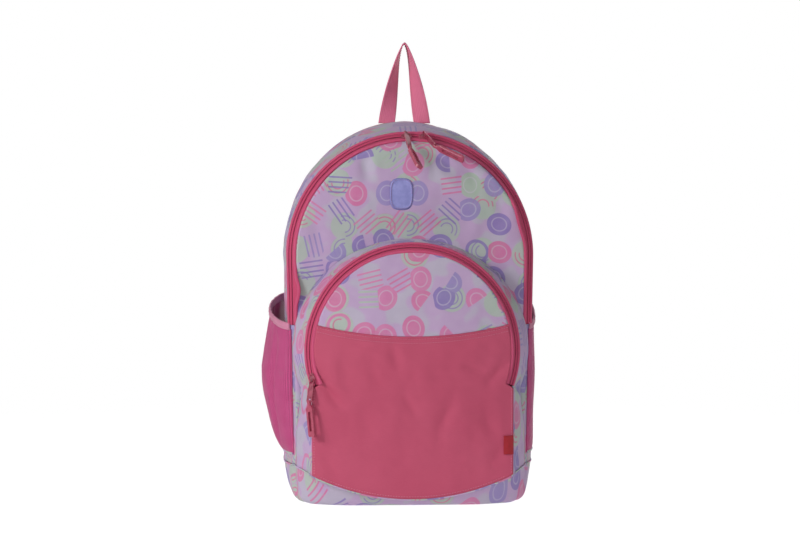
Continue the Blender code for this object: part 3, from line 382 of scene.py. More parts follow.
def mesh_of(name, verts, quads, flat):
    """Mesh of quads; flat gives each point's place on the cut cloth, in metres."""
    mesh = bpy.data.meshes.new(name)
    mesh.from_pydata(verts.tolist(), [], quads.tolist())
    layer = mesh.uv_layers.new(name="metres")
    corner = np.empty(len(mesh.loops), dtype=np.int64)
    mesh.loops.foreach_get("vertex_index", corner)
    layer.data.foreach_set("uv", flat[corner].astype(np.float32).ravel())
    return mesh


def grid_mesh(name, points, flat, ring_u=False, ring_v=False, away=None):
    """Quads over a grid of points.

    ring_u and ring_v join the last row or column to the first. With away, the faces are turned
    so that on the whole they look away from that point.
    """
    rows, cols = points.shape[:2]
    index = np.arange(rows * cols).reshape(rows, cols)
    if ring_u:
        index = np.vstack([index, index[:1]])
    if ring_v:
        index = np.hstack([index, index[:, :1]])
    quads = np.stack([index[:-1, :-1], index[:-1, 1:], index[1:, 1:], index[1:, :-1]],
                     -1).reshape(-1, 4)
    verts = points.reshape(-1, 3)
    if away is not None:
        a, b, c, d = (verts[quads[:, i]] for i in range(4))
        facing = np.cross(c - a, d - b)
        if np.sum(facing * ((a + c) / 2 - np.array(away))) < 0:
            quads = quads[:, ::-1]
    return mesh_of(name, verts, quads, flat.reshape(-1, 2))


def welded(mesh, distance=0.00002, closed=False):
    """Merges points that coincide, as at poles and joined ends, and drops empty faces. The faces
    of a closed mesh are turned outwards."""
    bm = bmesh.new()
    bm.from_mesh(mesh)
    bmesh.ops.remove_doubles(bm, verts=bm.verts, dist=distance)
    bmesh.ops.dissolve_degenerate(bm, edges=bm.edges, dist=0.000005)
    if closed:
        bmesh.ops.recalc_face_normals(bm, faces=bm.faces)
    bm.to_mesh(mesh)
    bm.free()
    return mesh


def walled(piece, wall, offset=-1.0):
    thick = piece.modifiers.new("wall", "SOLIDIFY")
    thick.thickness, thick.offset = wall, offset
    return piece


def cloth(name, points, flat, finish, replaces=(), wall=CLOTH_WALL, away=(0, 0, 0.2),
          offset=-1.0, body="bag"):
    """A cut of cloth over a grid of points, given its thickness inwards."""
    piece = linked(name, grid_mesh(name, points, flat, away=away))
    return walled(dressed(piece, finish, replaces, body), wall, offset)


def places(*parts):
    """Points, or lengths on the cut cloth, from their parts spread over one grid."""
    return np.stack(np.broadcast_arrays(*parts), -1)


def length_along(path):
    step = np.linalg.norm(np.diff(path, axis=0), axis=1)
    return np.concatenate([[0.0], np.cumsum(step)])


def section(count, power=1.0, power_up=None):
    """Shares across and up round a section; a power under 1 squares it off."""
    angle = np.linspace(0, 2 * np.pi, count, endpoint=False)
    return [np.sign(share) * np.abs(share) ** rate
            for share, rate in ((np.cos(angle), power), (np.sin(angle), power_up or power))]


def tube_mesh(name, centre, side, up, half_side, half_up, around=10, power=1.0, ring=False):
    """Closed tube along a path: each section is centre + side * cos^power + up * sin^power.

    centre, side and up are (n, 3); half_side and half_up are the section's half sizes. Open
    ends are drawn in to a point, which closes them.
    """
    across, above = section(around, power)
    half_side, half_up = (np.broadcast_to(half, len(centre))[:, None, None]
                          for half in (half_side, half_up))
    points = (centre[:, None] + side[:, None] * across[None, :, None] * half_side
              + up[:, None] * above[None, :, None] * half_up)
    along = length_along(centre)
    if not ring:
        points = pointed(points, centre)
        along = np.concatenate([along[:1], along, along[-1:]])
    flat = places(along[:, None], (across * half_side.mean())[None])
    return welded(grid_mesh(name, points, flat, ring_u=ring, ring_v=True), closed=True)


def pointed(points, centre):
    """The sections of a tube with one more at each end, drawn in to the path's end point."""
    around = points.shape[1]
    return np.concatenate([np.repeat(centre[:1, None], around, 1), points,
                           np.repeat(centre[-1:, None], around, 1)])


def unit(vectors):
    return vectors / np.maximum(np.linalg.norm(vectors, axis=-1, keepdims=True), 1e-9)


def headings(path, ring=False):
    """Unit directions along a path, from each point's neighbours."""
    if ring:
        return unit(np.roll(path, -1, 0) - np.roll(path, 1, 0))
    return unit(np.gradient(path, axis=0))


def piping(name, path, normal, half, finish, flatness=0.8, ring=False, body="bag"):
    """Round tube along a path, flattened towards the cloth it is sewn to: piping, or the folded
    edge of a cloth."""
    ahead = headings(path, ring)
    side = unit(np.cross(ahead, normal))
    up = unit(np.cross(side, ahead))
    mesh = tube_mesh(name, path, side, up, half, half * flatness, ring=ring)
    return dressed(linked(name, mesh), finish, (), body)


def stitches(name, path, normal, finish, body="bag", pitch=0.0031, long=0.0021,
             thick=0.00030):
    """Row of stitches: small spindles, one each pitch along the path, half sunk in the cloth."""
    along = length_along(path)
    marks = np.arange(pitch / 2, along[-1], pitch)

    def at(values):
        return places(*(np.interp(marks, along, values[:, i]) for i in range(3)))

    centre, ahead, up = (values[:, None, None] for values in (
        at(path), unit(at(headings(path))), unit(at(np.broadcast_to(normal, path.shape)))))
    side = unit(np.cross(ahead, up))
    lengthwise = np.array([-0.5, -0.34, 0.0, 0.34, 0.5])
    fatness = np.array([0.0, 0.75, 1.0, 0.75, 0.0])[:, None] * thick
    across, above = section(6)
    points = (centre + ahead * (lengthwise * long)[None, :, None, None]
              + side * (across[None] * fatness)[None, ..., None]
              + up * (above[None] * fatness + thick * 0.45)[None, ..., None])
    index = np.arange(points.size // 3).reshape(points.shape[:3])
    after = np.roll(index, -1, 2)
    quads = np.stack([index[:, :-1], after[:, :-1], after[:, 1:], index[:, 1:]], -1).reshape(-1, 4)
    verts = points.reshape(-1, 3)
    mesh = welded(mesh_of(name, verts, quads, verts[:, [0, 2]]), 0.000003, closed=True)
    return dressed(linked(name, mesh), finish, (), body)


def eased(stations, values, window):
    """Broken line through the stations, averaged over a window so that its corners round off."""
    fine = np.linspace(stations[0], stations[-1], 800)
    raw = np.interp(fine, stations, values)
    count = max(3, int(800 * window / (stations[-1] - stations[0])))
    wide = np.pad(raw, count, mode="reflect", reflect_type="odd")
    smooth = np.convolve(wide, np.ones(count) / count, "same")[count:-count]
    return lambda place: np.interp(place, fine, smooth)


def smoothstep(value):
    value = np.clip(value, 0.0, 1.0)
    return value * value * (3 - 2 * value)


def bell(value, middle, wide):
    return np.exp(-((value - middle) / wide) ** 2)


def hump(share, power=1.0):
    """0 at both ends of a share from 0 to 1 and 1 in its middle; a power under 1 is fuller."""
    return np.sin(np.pi * np.clip(share, 0, 1)) ** power


def creases(x, z, lines):
    """Sum of soft furrows. Each line is (x0, z0, x1, z1, half width, height): the height falls
    off as a bell across the line and eases to nothing towards both of its ends."""
    total = np.zeros_like(x)
    for x0, z0, x1, z1, wide, height in lines:
        dx, dz = x1 - x0, z1 - z0
        length = math.hypot(dx, dz)
        along = ((x - x0) * dx + (z - z0) * dz) / length ** 2
        off = ((x - x0) * dz - (z - z0) * dx) / length
        inside = smoothstep(1.0 - np.abs(2 * along - 1)) ** 0.6
        total = total + height * bell(off, 0, wide) * inside
    return total


def ripple(a, b, wavelength, seed):
    """Slow uneven swelling between -1 and 1: five sines in different directions, averaged."""
    total = np.zeros(np.broadcast(a, b).shape)
    for i in range(5):
        turn = seed * 1.7 + i * 2.4
        scale = 2 * np.pi / (wavelength * (0.7 + 0.22 * i))
        total += np.sin((a * math.cos(turn) + b * math.sin(turn)) * scale + seed + i * i)
    return total / 5


def panel(name, outline, face, finish, replaces, rings, wall=CLOTH_WALL, body="bag"):
    """Front or back panel: an outline in x and z, shrunk ring by ring to its middle.

    face gives y from x, z and the ring's share, which is 1 on the outline and 0 in the middle.
    """
    share = 1 - (np.arange(rings + 1) / rings)[:, None]
    middle = outline.mean(0)
    flat = middle + (outline - middle)[None] * share[..., None]
    x, z = flat[..., 0], flat[..., 1]
    points = places(x, face(x, z, share), z)
    away = (0.0, 10.0 if points[..., 1].mean() < 0 else -10.0, 0.2)
    mesh = welded(grid_mesh(name, points, flat, ring_v=True, away=away))
    return walled(dressed(linked(name, mesh), finish, replaces, body), wall), points


def arc(radius, centre_z, start, stop, count):
    angle = np.radians(np.linspace(start, stop, count))
    return places(radius * np.cos(angle), centre_z + radius * np.sin(angle))


def resampled(points, count, ring=False):
    """The same line with evenly spaced points."""
    if ring:
        points = np.vstack([points, points[:1]])
    along = length_along(points)
    marks = np.linspace(0, along[-1], count, endpoint=not ring)
    return places(*(np.interp(marks, along, column) for column in points.T))


# ---------------------------------------------------------------- forms of the body
def side_x(z):
    """Half width of the zip line on the sides: a straight taper from the arch to the foot."""
    share = (np.minimum(z, ARCH_Z) - SIDE_SEAM_Z) / (ARCH_Z - SIDE_SEAM_Z)
    return FOOT_X + (ARCH_RADIUS - FOOT_X) * share


SWELL, RISE = (eased(PROFILE[:, 0], PROFILE[:, i], 0.012) for i in (1, 2))


def run_length(low_z):
    return 2 * (ARCH_Z - low_z) + math.pi * ARCH_RADIUS


def run_at(s, low_z=ZIP_END_Z):
    """Place on the zip line at a length s from its left end: x, z and the outward direction.

    Up the left side, round the arch, down the right side: the angle is the length past the
    leg over the radius, held to the half circle, and the rest of the length is straight.
    """
    leg = ARCH_Z - low_z
    angle = np.clip(np.pi - (s - leg) / ARCH_RADIUS, 0, np.pi)
    straight = np.maximum(leg - s, 0) + np.maximum(s - (run_length(low_z) - leg), 0)
    z = ARCH_Z + ARCH_RADIUS * np.sin(angle) - straight
    x = np.where(straight > 0, np.sign(np.cos(angle)) * side_x(z), ARCH_RADIUS * np.cos(angle))
    return x, z, np.cos(angle), np.sin(angle)


def make_gusset():
    """Printed cloth round the top: the zip line moved out by the eased swell and rise."""
    low_z = ZIP_END_Z + 0.0003
    total = run_length(low_z)
    s = np.linspace(0, total, 260)[:, None]
    back = np.linspace(TAPE_EDGE + SEAM_GAP, BODY_DEPTH, 44)[None]
    x, z, nx, nz = run_at(s, low_z)
    held = hump((back - back.min()) / (back.max() - back.min()), 0.5)
    fold = 0.0011 * held * ripple(s, back, 0.060, 1) + 0.0005 * held * ripple(s, back, 0.021, 5)
    sag = -0.0022 * hump(s / total, 8) * hump(back / BODY_DEPTH, 2) * np.cos(s * 95.0)
    swell, rise = SWELL(back) + fold, RISE(back) + fold + sag * 0.35
    cloth("gusset_cloth", places(x + nx * swell, ZIP_Y + back, z + nz * rise),
          places(s + low_z, back), PRINT, ("top_gusset",))


def front_reach(z):
    """How far the front's edge stays inside the zip line: the tape's width by the zip, and next
    to nothing below it."""
    low = ZIP_END_Z - 0.055
    return -(0.0008 + (TAPE_EDGE - 0.0008) * np.clip((z - low) / (ZIP_END_Z - low), 0, 1))


def low_fullness(y, z):
    """Outward sag of the cloth over the bottom's side seam: a bell in height, eased to nothing
    towards the front and the back."""
    return (0.0045 * bell(z, 0.055, 0.032) * smoothstep((y + 0.052) / 0.04)
            * smoothstep((BACK_Y - y) / 0.026))


def side_line(y, z):
    """Distance of the side from the middle: taper, eased swell and low fullness, turning in at
    the front."""
    turn = smoothstep((ZIP_Y - y) / (ZIP_Y - FRONT_Y))
    return (side_x(z) + SWELL(np.maximum(y - ZIP_Y, 0)) + front_reach(z) * turn
            + low_fullness(y, z))


def make_sides():
    for name, side in SIDES:
        y = np.linspace(FRONT_Y, BACK_Y, 54)[:, None]
        z = np.linspace(SIDE_SEAM_Z + 0.0004, ZIP_END_Z - 0.0004, 60)[None]
        held = hump((y - FRONT_Y) / (BACK_Y - FRONT_Y), 0.5)
        fold = 0.0010 * held * ripple(y, z, 0.055, 3 + side)
        if name == "right":
            fold = fold + creases(y, z, ((-0.030, 0.075, 0.010, 0.150, 0.009, -0.0012),
                                         (0.030, 0.060, 0.020, 0.170, 0.010, 0.0010)))
        x = side * (side_line(y, z) + np.where(held > 0.3, np.minimum(fold, 0.0006), 0))
        cloth("side_cloth_" + name, places(x, y, z), places(z, y - ZIP_Y), PRINT,
              ("side_panel_" + name,))


# flat share, power and roundness of the bottom's rise to its sides
BOTTOM_CURL = (0.50, 16.0, 2.0)
BOTTOM_STATIONS = np.array([
    # y, half width, lowest z, climb, flat share, power, roundness
    (POCKET_Y + 0.0035, POCKET_X, SEAM_LOW_Z, POCKET_FOOT_Z - SEAM_LOW_Z, 0.0, 2.0, 1.0),
    (-0.0960, POCKET_X + 0.24 * (FOOT_X - POCKET_X), 0.0030, 0.0366, 0.15, 2.8, 1.15),
    (-0.0850, POCKET_X + 0.53 * (FOOT_X - POCKET_X), 0.0004, 0.0412, 0.35, 5.0, 1.4),
    (-0.0700, POCKET_X + 0.90 * (FOOT_X - POCKET_X), 0.0, 0.0432, 0.50, 12.0, 1.8)]
    + [(ZIP_Y + back, FOOT_X + swell, 0.0, SIDE_SEAM_Z - BOTTOM_DROP, *BOTTOM_CURL)
       for back, swell, _ in PROFILE])


def closer_to_sides(count):
    """Shares across from -1 to 1 whose steps get shorter towards both sides."""
    u = np.linspace(-1, 1, count)
    return np.sign(u) * (1 - (1 - np.abs(u)) ** 2.2)


def bottom_curl(t, flat, power, roundness):
    """Rise of the bottom, 0 to 1: 1 - (1 - share^power)^(1/roundness) past the flat middle."""
    share = np.clip((np.abs(t) - flat) / (1 - flat), 0.0, 1.0)
    return 1 - (1 - share ** power) ** (1 / roundness)


def bottom_edge(half, lift):
    """The bottom's curl between the sides, for the outlines of the front and the back."""
    share = closer_to_sides(90)[1:-1]
    return places(share * half, SIDE_SEAM_Z * bottom_curl(share, *BOTTOM_CURL) + lift)


def bottom_point(t, y):
    """Point of the bottom at a share t across; the stations between the rows are interpolated."""
    half, low, climb, flat, power, roundness = (
        np.interp(y, BOTTOM_STATIONS[:, 0], BOTTOM_STATIONS[:, i]) for i in range(1, 7))
    z = low + climb * bottom_curl(t, flat, power, roundness)
    return places(half * t + np.sign(t) * np.abs(t) ** 8 * low_fullness(y, z), y, z)


def make_bottom():
    y = np.linspace(POCKET_Y + 0.0035, BACK_Y, 76)[:, None]
    t = closer_to_sides(170)[None]
    points = bottom_point(t, y)
    free = smoothstep((-0.070 - y) / 0.03) * hump((t + 1) / 2, 0.5)
    points[..., 1] -= 0.0012 * free * np.abs(ripple(t * 0.12, y, 0.05, 7))
    wall = smoothstep((np.abs(t) - 0.90) / 0.08) * np.clip((1 - np.abs(t)) / 0.02, 0, 1)
    points[..., 0] += np.sign(t) * 0.0009 * wall * ripple(points[..., 2] * 1.5, y, 0.045, 9)
    run = np.array([length_along(row) for row in points])
    run -= run[:, -1:] / 2
    cloth("bottom_cloth", points, places(run, y), PRINT, ("bottom_panel",),
          0.0014)
    for name, side in SIDES:
        y = np.linspace(POCKET_Y + 0.006, BACK_Y - 0.003, 120)
        path = bottom_point(side * 1.0, y) + np.array([side * 0.0003, 0, 0.0006])
        piping("bottom_piping_" + name, path, [side, 0, -0.3], 0.0011, PRINT)


UPPER_FOLDS = (
    (0.008, 0.4215, 0.050, 0.388, 0.0095, 0.0050), (0.022, 0.419, 0.030, 0.372, 0.0055, 0.0022),
    (-0.057, 0.411, -0.048, 0.370, 0.0065, 0.0034), (-0.044, 0.408, -0.036, 0.382, 0.0050, -0.0012),
    (0.062, 0.407, 0.078, 0.372, 0.0070, 0.0022), (-0.100, 0.390, -0.070, 0.345, 0.0090, 0.0014),
    (0.096, 0.370, 0.112, 0.320, 0.0080, 0.0020), (0.030, 0.365, -0.010, 0.338, 0.0120, -0.0012),
    (0.085, 0.350, 0.070, 0.305, 0.0080, -0.0012), (-0.118, 0.340, -0.100, 0.290, 0.0080, 0.0016))


def front_face(x, z):
    """Main front: the flat plane less the crown of the upper panel, plus furrows and ripples."""
    across = np.maximum(0.0, 1 - (x / ARCH_RADIUS) ** 2)
    up = hump((z - HINGE_Z) / (ARCH_Z + ARCH_RADIUS - HINGE_Z), 0.8)
    crown = PANEL_CROWN * across * up
    rim = np.maximum(0, 1 - (x ** 2 + np.maximum(z - ARCH_Z, 0) ** 2) / (ARCH_RADIUS - 0.004) ** 2)
    held = smoothstep(rim / 0.20)
    return (FRONT_Y - crown + held * (creases(x, z, UPPER_FOLDS) + 0.0009 * ripple(x, z, 0.06, 2)
                                      + 0.0004 * ripple(x, z, 0.02, 4)))


def make_front():
    """One cloth from the bottom seam to the arch, across the line where the upper panel folds, given
    the body "bend".
    """
    arch = arc(ARCH_RADIUS - TAPE_EDGE - 0.0013, ARCH_Z, 180, 0, 120)
    z = np.linspace(SIDE_SEAM_Z + 0.004, ARCH_Z, 40)[:-1]
    inset = SEAM_GAP + 0.0006 * smoothstep((z - ZIP_END_Z + 0.02) / 0.02)
    leg = places(-(side_x(z) + front_reach(z) - inset), z)
    ring = np.vstack([leg, arch, (leg * [-1, 1])[::-1], bottom_edge(leg[0, 0], 0.0035)])
    panel("front_cloth", resampled(ring, 300, True), lambda x, z, share: front_face(x, z), PRINT,
          ("front_panel_upper", "front_panel_lower"), 64, body="bend")


# ---------------------------------------------------------------- zips
def lifted(bulge):
    """Height of a widened tape over the cloth, 1.8 mm once it is 3 mm wider."""
    return 0.0018 * np.clip(bulge / 0.0030, 0, 1)


def zip_section(sign, s, bulge):
    """Reach and height of one half of a zip, as arrays over the run and across the tape.

    From the slit outwards: a low ribbed hump over the coil, the flat tape and the fold of the
    cloth that is sewn on it. bulge widens the tape beyond the hump and lifts it over the cloth.
    """
    hump_end, hump_width = 0.62, 0.0033
    across = np.array([0.0, 0.14, 0.26, 0.38, 0.50, hump_end, 0.80, 1.0])
    hump = np.array([0.0, 0.00024, 0.00040, 0.00040, 0.00024, 0.0, 0.0, 0.0])
    inner = SLIT + hump_width * np.minimum(across / hump_end, 1.0)
    outer = np.maximum(across - hump_end, 0) / (1 - hump_end)
    reach = inner[None] + outer[None] * (REACH - SLIT - hump_width + bulge[:, None])
    ribs = 0.72 + 0.28 * np.cos(2 * np.pi * s / COIL_PITCH)
    lift = smoothstep((across - hump_end) / 0.22) * lifted(bulge)[:, None]
    return sign * reach, hump[None] * ribs[:, None] + lift


def slanted(line, zip_y, reach, height):
    """Places on a zip's face, which slants by 45 degrees: reach runs out and back, height runs
    out and forward. line holds x, z and the outward direction."""
    x, z, nx, nz = line
    radial = (reach + height) * SLOPE
    return places(x + nx * radial, zip_y + (reach - height) * SLOPE, z + nz * radial)


def zip_half(name, coil_name, s, line, zip_y, sign, bulge, replaces, body):
    """Tape and coil of one half of a zip; the sign is 1 for the rear half."""
    reach, height = zip_section(sign, s, bulge)
    points = slanted([value[:, None] for value in line], zip_y, reach, height)
    cloth(name, points, places(s[:, None], reach), ZIP_TAPE, replaces, TAPE_WALL,
          (0, 0.03, 0.24), body=body)
    under_tape, sideways = 0.0008 + 0.0003 + 0.00075, 0.0018
    coil = slanted(line, zip_y, sign * sideways, -under_tape)
    side, up = (places(line[2] * SLOPE, depth, line[3] * SLOPE) for depth in (SLOPE, -SLOPE))
    teeth = 0.82 + 0.18 * np.cos(2 * np.pi * s / COIL_PITCH)
    mesh = tube_mesh(coil_name, coil, side, up, 0.00115 * teeth, 0.00070 * teeth, 6)
    dressed(linked(coil_name, mesh), COIL, (), body)


def make_zip(kind, coil, row, s, line, zip_y, gore, half, front, rear, keep, body="bag"):
    """Both halves of a zip with their folded edges, half thick, and a row of stitches.

    gore widens the front half, front and rear name the nodes, keep takes the row's ends off.
    """
    zip_half(kind + "_zip_front", coil + "_front", s, line, zip_y, -1, gore, front, body)
    zip_half(kind + "_zip_rear", coil + "_rear", s, line, zip_y, 1, 0 * s, rear, "bag")
    line, gore = [value[::3] for value in line], gore[::3]
    out, ahead = (places(line[2] * radial, depth, line[3] * radial)
                  for radial, depth in ((0.75, -0.65), (0.15, -1.0)))
    outer = slanted(line, zip_y, REACH + 0.0004, 0.0004)
    inner = slanted(line, zip_y, -(REACH + gore + 0.0021 - half), 0.0006 + lifted(gore))
    piping(kind + "_bound_edge_rear", outer, out, half, LIP, EDGE_FLATNESS)
    piping(kind + "_bound_edge_front", inner, ahead, half, LIP, EDGE_FLATNESS,
           body=body)
    path = slanted(line, zip_y, REACH - 0.0021, 0.0001)
    stitches(row, path[keep], out[keep], DARK_THREAD)


def make_main_zip():
    total = run_length(ZIP_END_Z)
    s = np.linspace(0, total, 1100)
    line = run_at(s)
    x, z = line[:2]
    gore = (0.0075 * bell(z, 0.250, 0.017) * (x < -0.08) * (z < ARCH_Z + 0.03)
            + 0.0062 * bell(z, 0.326, 0.024) * (x > 0.08))
    gore[z < 0.214] *= 0.3
    end = s[::3]
    make_zip("main", "main_coil", "main_stitches_rear", s, line, ZIP_Y, gore, 0.0019,
             ("zip_tape_front_upper", "zip_tape_front_left_leg", "zip_tape_front_right_leg",
              "zip_coil_front_upper", "zip_coil_front_left_leg", "zip_coil_front_right_leg"),
             ("zip_tape_rear", "zip_coil_rear"), (end > 0.012) & (end < total - 0.012), "bend")


def make_pocket_zip():
    """The pocket's zip: an arc past the half circle at both ends."""
    s = np.linspace(0, POCKET_RADIUS * (math.pi + 2 * POCKET_END), 880)
    angle = np.pi + POCKET_END - s / POCKET_RADIUS
    nx, nz = np.cos(angle), np.sin(angle)
    line = POCKET_RADIUS * nx, POCKET_Z + POCKET_RADIUS * nz, nx, nz
    make_zip("pocket", "pocket_coil_edge", "pocket_zip_stitches", s, line, POCKET_ZIP_Y,
             0.0058 * bell(s, 0, 0.020), 0.0018, ("pocket_tape_front", "pocket_coil_front"),
             ("pocket_tape_rear", "pocket_coil_rear"), slice(3, -3))


# ---------------------------------------------------------------- front pocket
def yoke(x):
    return YOKE_Z + YOKE_LIFT * (x / POCKET_RADIUS) ** 2


def pocket_foot(x):
    return SEAM_LOW_Z + (POCKET_FOOT_Z - SEAM_LOW_Z) * (x / POCKET_X) ** 2


POCKET_FOLDS = (
    (-0.108, 0.150, -0.079, 0.113, 0.0060, 0.0026), (-0.100, 0.152, -0.070, 0.130, 0.0060, -0.0010),
    (-0.026, 0.195, -0.016, 0.156, 0.0070, 0.0014), (-0.015, 0.138, 0.006, 0.106, 0.0060, 0.0014),
    (0.047, 0.130, 0.026, 0.080, 0.0075, 0.0018), (0.054, 0.168, 0.090, 0.154, 0.0055, 0.0011),
    (0.113, 0.172, 0.082, 0.143, 0.0060, 0.0020), (-0.060, 0.125, -0.050, 0.075, 0.0100, 0.0010),
    (0.000, 0.175, 0.018, 0.135, 0.0120, -0.0012), (-0.096, 0.185, -0.088, 0.140, 0.0090, -0.0012),
    (0.078, 0.125, 0.098, 0.070, 0.0090, 0.0014), (-0.108, 0.070, -0.085, 0.035, 0.0070, 0.0012),
    (-0.050, 0.190, -0.044, 0.130, 0.0080, 0.0009), (0.088, 0.045, 0.108, 0.080, 0.0070, 0.0012))


def pocket_face(x, z):
    """Front of the pocket: its crown, (across * up) ^ 0.75, with furrows and ripples."""
    across = np.maximum(0.0, 1 - (x / (POCKET_X + 0.002)) ** 2)
    middle = (POCKET_Z + POCKET_RADIUS + SEAM_LOW_Z) / 2
    half = (POCKET_Z + POCKET_RADIUS - SEAM_LOW_Z) / 2
    up = np.maximum(0.0, 1 - ((z - middle) / half) ** 2)
    held = smoothstep(across * up / 0.16)
    return (POCKET_Y - POCKET_CROWN * (across * up) ** 0.75
            + held * (1.5 * creases(x, z, POCKET_FOLDS) + 0.0010 * ripple(x, z, 0.055, 11)
                      + 0.00035 * ripple(x, z, 0.018, 12)))


def pocket_outlines():
    """Outlines of the pocket's printed and pink cloths, which meet along the yoke's curve."""
    edge = POCKET_RADIUS - TAPE_EDGE - SEAM_GAP
    meet = math.degrees(math.asin((yoke(edge) - POCKET_Z) / edge))
    x = np.linspace(1, -1, 80)[1:-1] * edge * math.cos(math.radians(meet))
    upper = np.vstack([arc(edge, POCKET_Z, 180 - meet, meet, 120), places(x, yoke(x))])
    foot = POCKET_X - SEAM_GAP
    step_z = POCKET_Z - POCKET_RADIUS * math.sin(POCKET_END) - 0.0035
    leg = places(-foot, np.linspace(POCKET_FOOT_Z + SEAM_GAP, step_z, 30))
    left = np.vstack([leg, arc(edge, POCKET_Z, 180 + math.degrees(POCKET_END), 180 - meet, 40)])
    x = np.linspace(1, -1, 80)[1:-1] * foot
    top = np.linspace(left[-1, 0], -left[-1, 0], 80)[1:-1]
    lower = np.vstack([left, places(top, yoke(top)), (left * [-1, 1])[::-1],
                       places(x, pocket_foot(x) + 0.0006)])
    return resampled(upper, 240, True), resampled(lower, 300, True)


def make_pocket_faces():
    upper, lower = pocket_outlines()
    panel("pocket_print_cloth", upper, lambda x, z, share: pocket_face(x, z) + 0.0004, PRINT,
          ("pocket_panel_upper",), 40)
    panel("pocket_pink_cloth", lower, lambda x, z, share: pocket_face(x, z) - 0.0003 * smoothstep(
        (yoke(x) - z) / 0.0008), PINK, ("pocket_panel_lower",), 56)

    def on_face(x, z, out):
        return places(x, pocket_face(x, z) - out, z)

    x = np.linspace(-0.1105, 0.1105, 160)
    piping("yoke_fold", on_face(x, yoke(x) - 0.0007, 0.0002), FORWARD_AND_UP, 0.0010, PINK,
           EDGE_FLATNESS)
    for name, drop in (("upper", 0.0026), ("lower", 0.0072)):
        stitches("yoke_stitches_" + name, on_face(x, yoke(x) - drop, 0.0004), FORWARD_AND_UP,
                 THREAD)
    x = np.linspace(-0.114, 0.114, 200)
    z = pocket_foot(x)
    seam = places(x, pocket_face(x, np.maximum(z, SEAM_LOW_Z + 0.0004)) + 0.0006, z - 0.0002)
    piping("pocket_foot_fold", seam, FORWARD_AND_UP, 0.0012, PRINT,
           EDGE_FLATNESS)
    stitches("pocket_foot_stitches", on_face(x, z + 0.0034, 0.0003)[6:-6], FORWARD_AND_UP,
             THREAD)
    z = np.linspace(POCKET_FOOT_Z + 0.002, 0.138, 90)
    for name, side in SIDES:
        stitches("pocket_side_stitches_" + name, on_face(side * (POCKET_X - 0.0030), z, 0.0002),
                 FORWARD, THREAD)


def make_pocket_side():
    """Printed strip round the pocket from the zip back to the body, and a stay of zip tape
    behind each end of the zip.

    Round the arch the strip spreads towards the body by 4 mm at the top and 14.5 mm at the
    level of the arch's middle; down the legs it eases into the bottom's width.
    """
    zip_back = POCKET_ZIP_Y + TAPE_EDGE + SEAM_GAP
    body_y = FRONT_Y - 0.0009
    depth = np.linspace(0, 1, 30)[None]
    leg_length = 0.088
    total = 2 * leg_length + (POCKET_RADIUS + 0.004) * (math.pi + 2 * POCKET_END)
    s = np.linspace(0, total, 300)[:, None]
    past = np.clip((s - leg_length) / (total - 2 * leg_length), 0, 1)
    angle = np.pi + POCKET_END - past * (np.pi + 2 * POCKET_END)
    level = np.abs(np.cos(angle))
    spread = 0.0040 + 0.0059 * level ** 1.5 + 0.0046 * level ** 4
    radius = (POCKET_RADIUS + TAPE_EDGE + SEAM_GAP
              + spread * (0.35 * depth + 0.65 * depth ** 0.7))
    down = np.clip(1 - np.minimum(s, total - s) / leg_length, 0, 1)
    side = np.where(s < total / 2, -1.0, 1.0)
    front = zip_back + (POCKET_Y + 0.0012 - zip_back) * smoothstep(down / 0.07)
    y = front + (body_y - front) * depth
    half, foot = (np.interp(y, BOTTOM_STATIONS[:, 0], column) for column in (
        BOTTOM_STATIONS[:, 1], BOTTOM_STATIONS[:, 2] + BOTTOM_STATIONS[:, 3]))
    end_x, end_z = radius * math.cos(POCKET_END), POCKET_Z - radius * math.sin(POCKET_END)
    leg_x = end_x + (half - 0.0002 - end_x) * smoothstep(down / (0.16 + 0.5 * depth))
    leg_z = end_z + (foot + 0.0004 - end_z) * down
    on_leg = down > 0
    x = np.where(on_leg, side * leg_x, radius * np.cos(angle))
    z = np.where(on_leg, leg_z, POCKET_Z + radius * np.sin(angle))
    fold = hump(depth, 0.7) * (0.0012 * ripple(s, y, 0.045, 15) + 0.0010 * ripple(s, y, 0.017, 16))
    nx, nz = np.where(on_leg, side, np.cos(angle)), np.where(on_leg, 0, np.sin(angle))
    cloth("pocket_side_cloth", places(x + nx * fold, y, z + nz * fold),
          places(s * 0.93 + 0.04, depth * 0.045 + 0.02), PRINT,
          ("pocket_gusset",), away=(0, -0.07, 0.17))
    z = np.linspace(0.1290, 0.1500, 8)[None]
    for name, side in SIDES:
        x = side * np.linspace(0.0990, 0.1165, 8)[:, None]
        cloth("pocket_end_stay_" + name, places(x, POCKET_Y + 0.0125, z), places(x, z), ZIP_TAPE,
              (), 0.0008, (0, 10, 0.14))


# ---------------------------------------------------------------- back
def back_outline(inset):
    """Outline of the back: the zip line moved out by the gusset's last station less an inset."""
    swell, rise = PROFILE[-1, 1] - inset - 0.0004, PROFILE[-1, 2] - inset
    low_z = SIDE_SEAM_Z + 0.004
    x, z, nx, nz = run_at(np.linspace(0, run_length(low_z), 220), low_z)
    upper = places(x + nx * swell, z + nz * rise)
    return resampled(np.vstack([upper, bottom_edge(-upper[-1, 0], inset + 0.0016)]), 300, True)


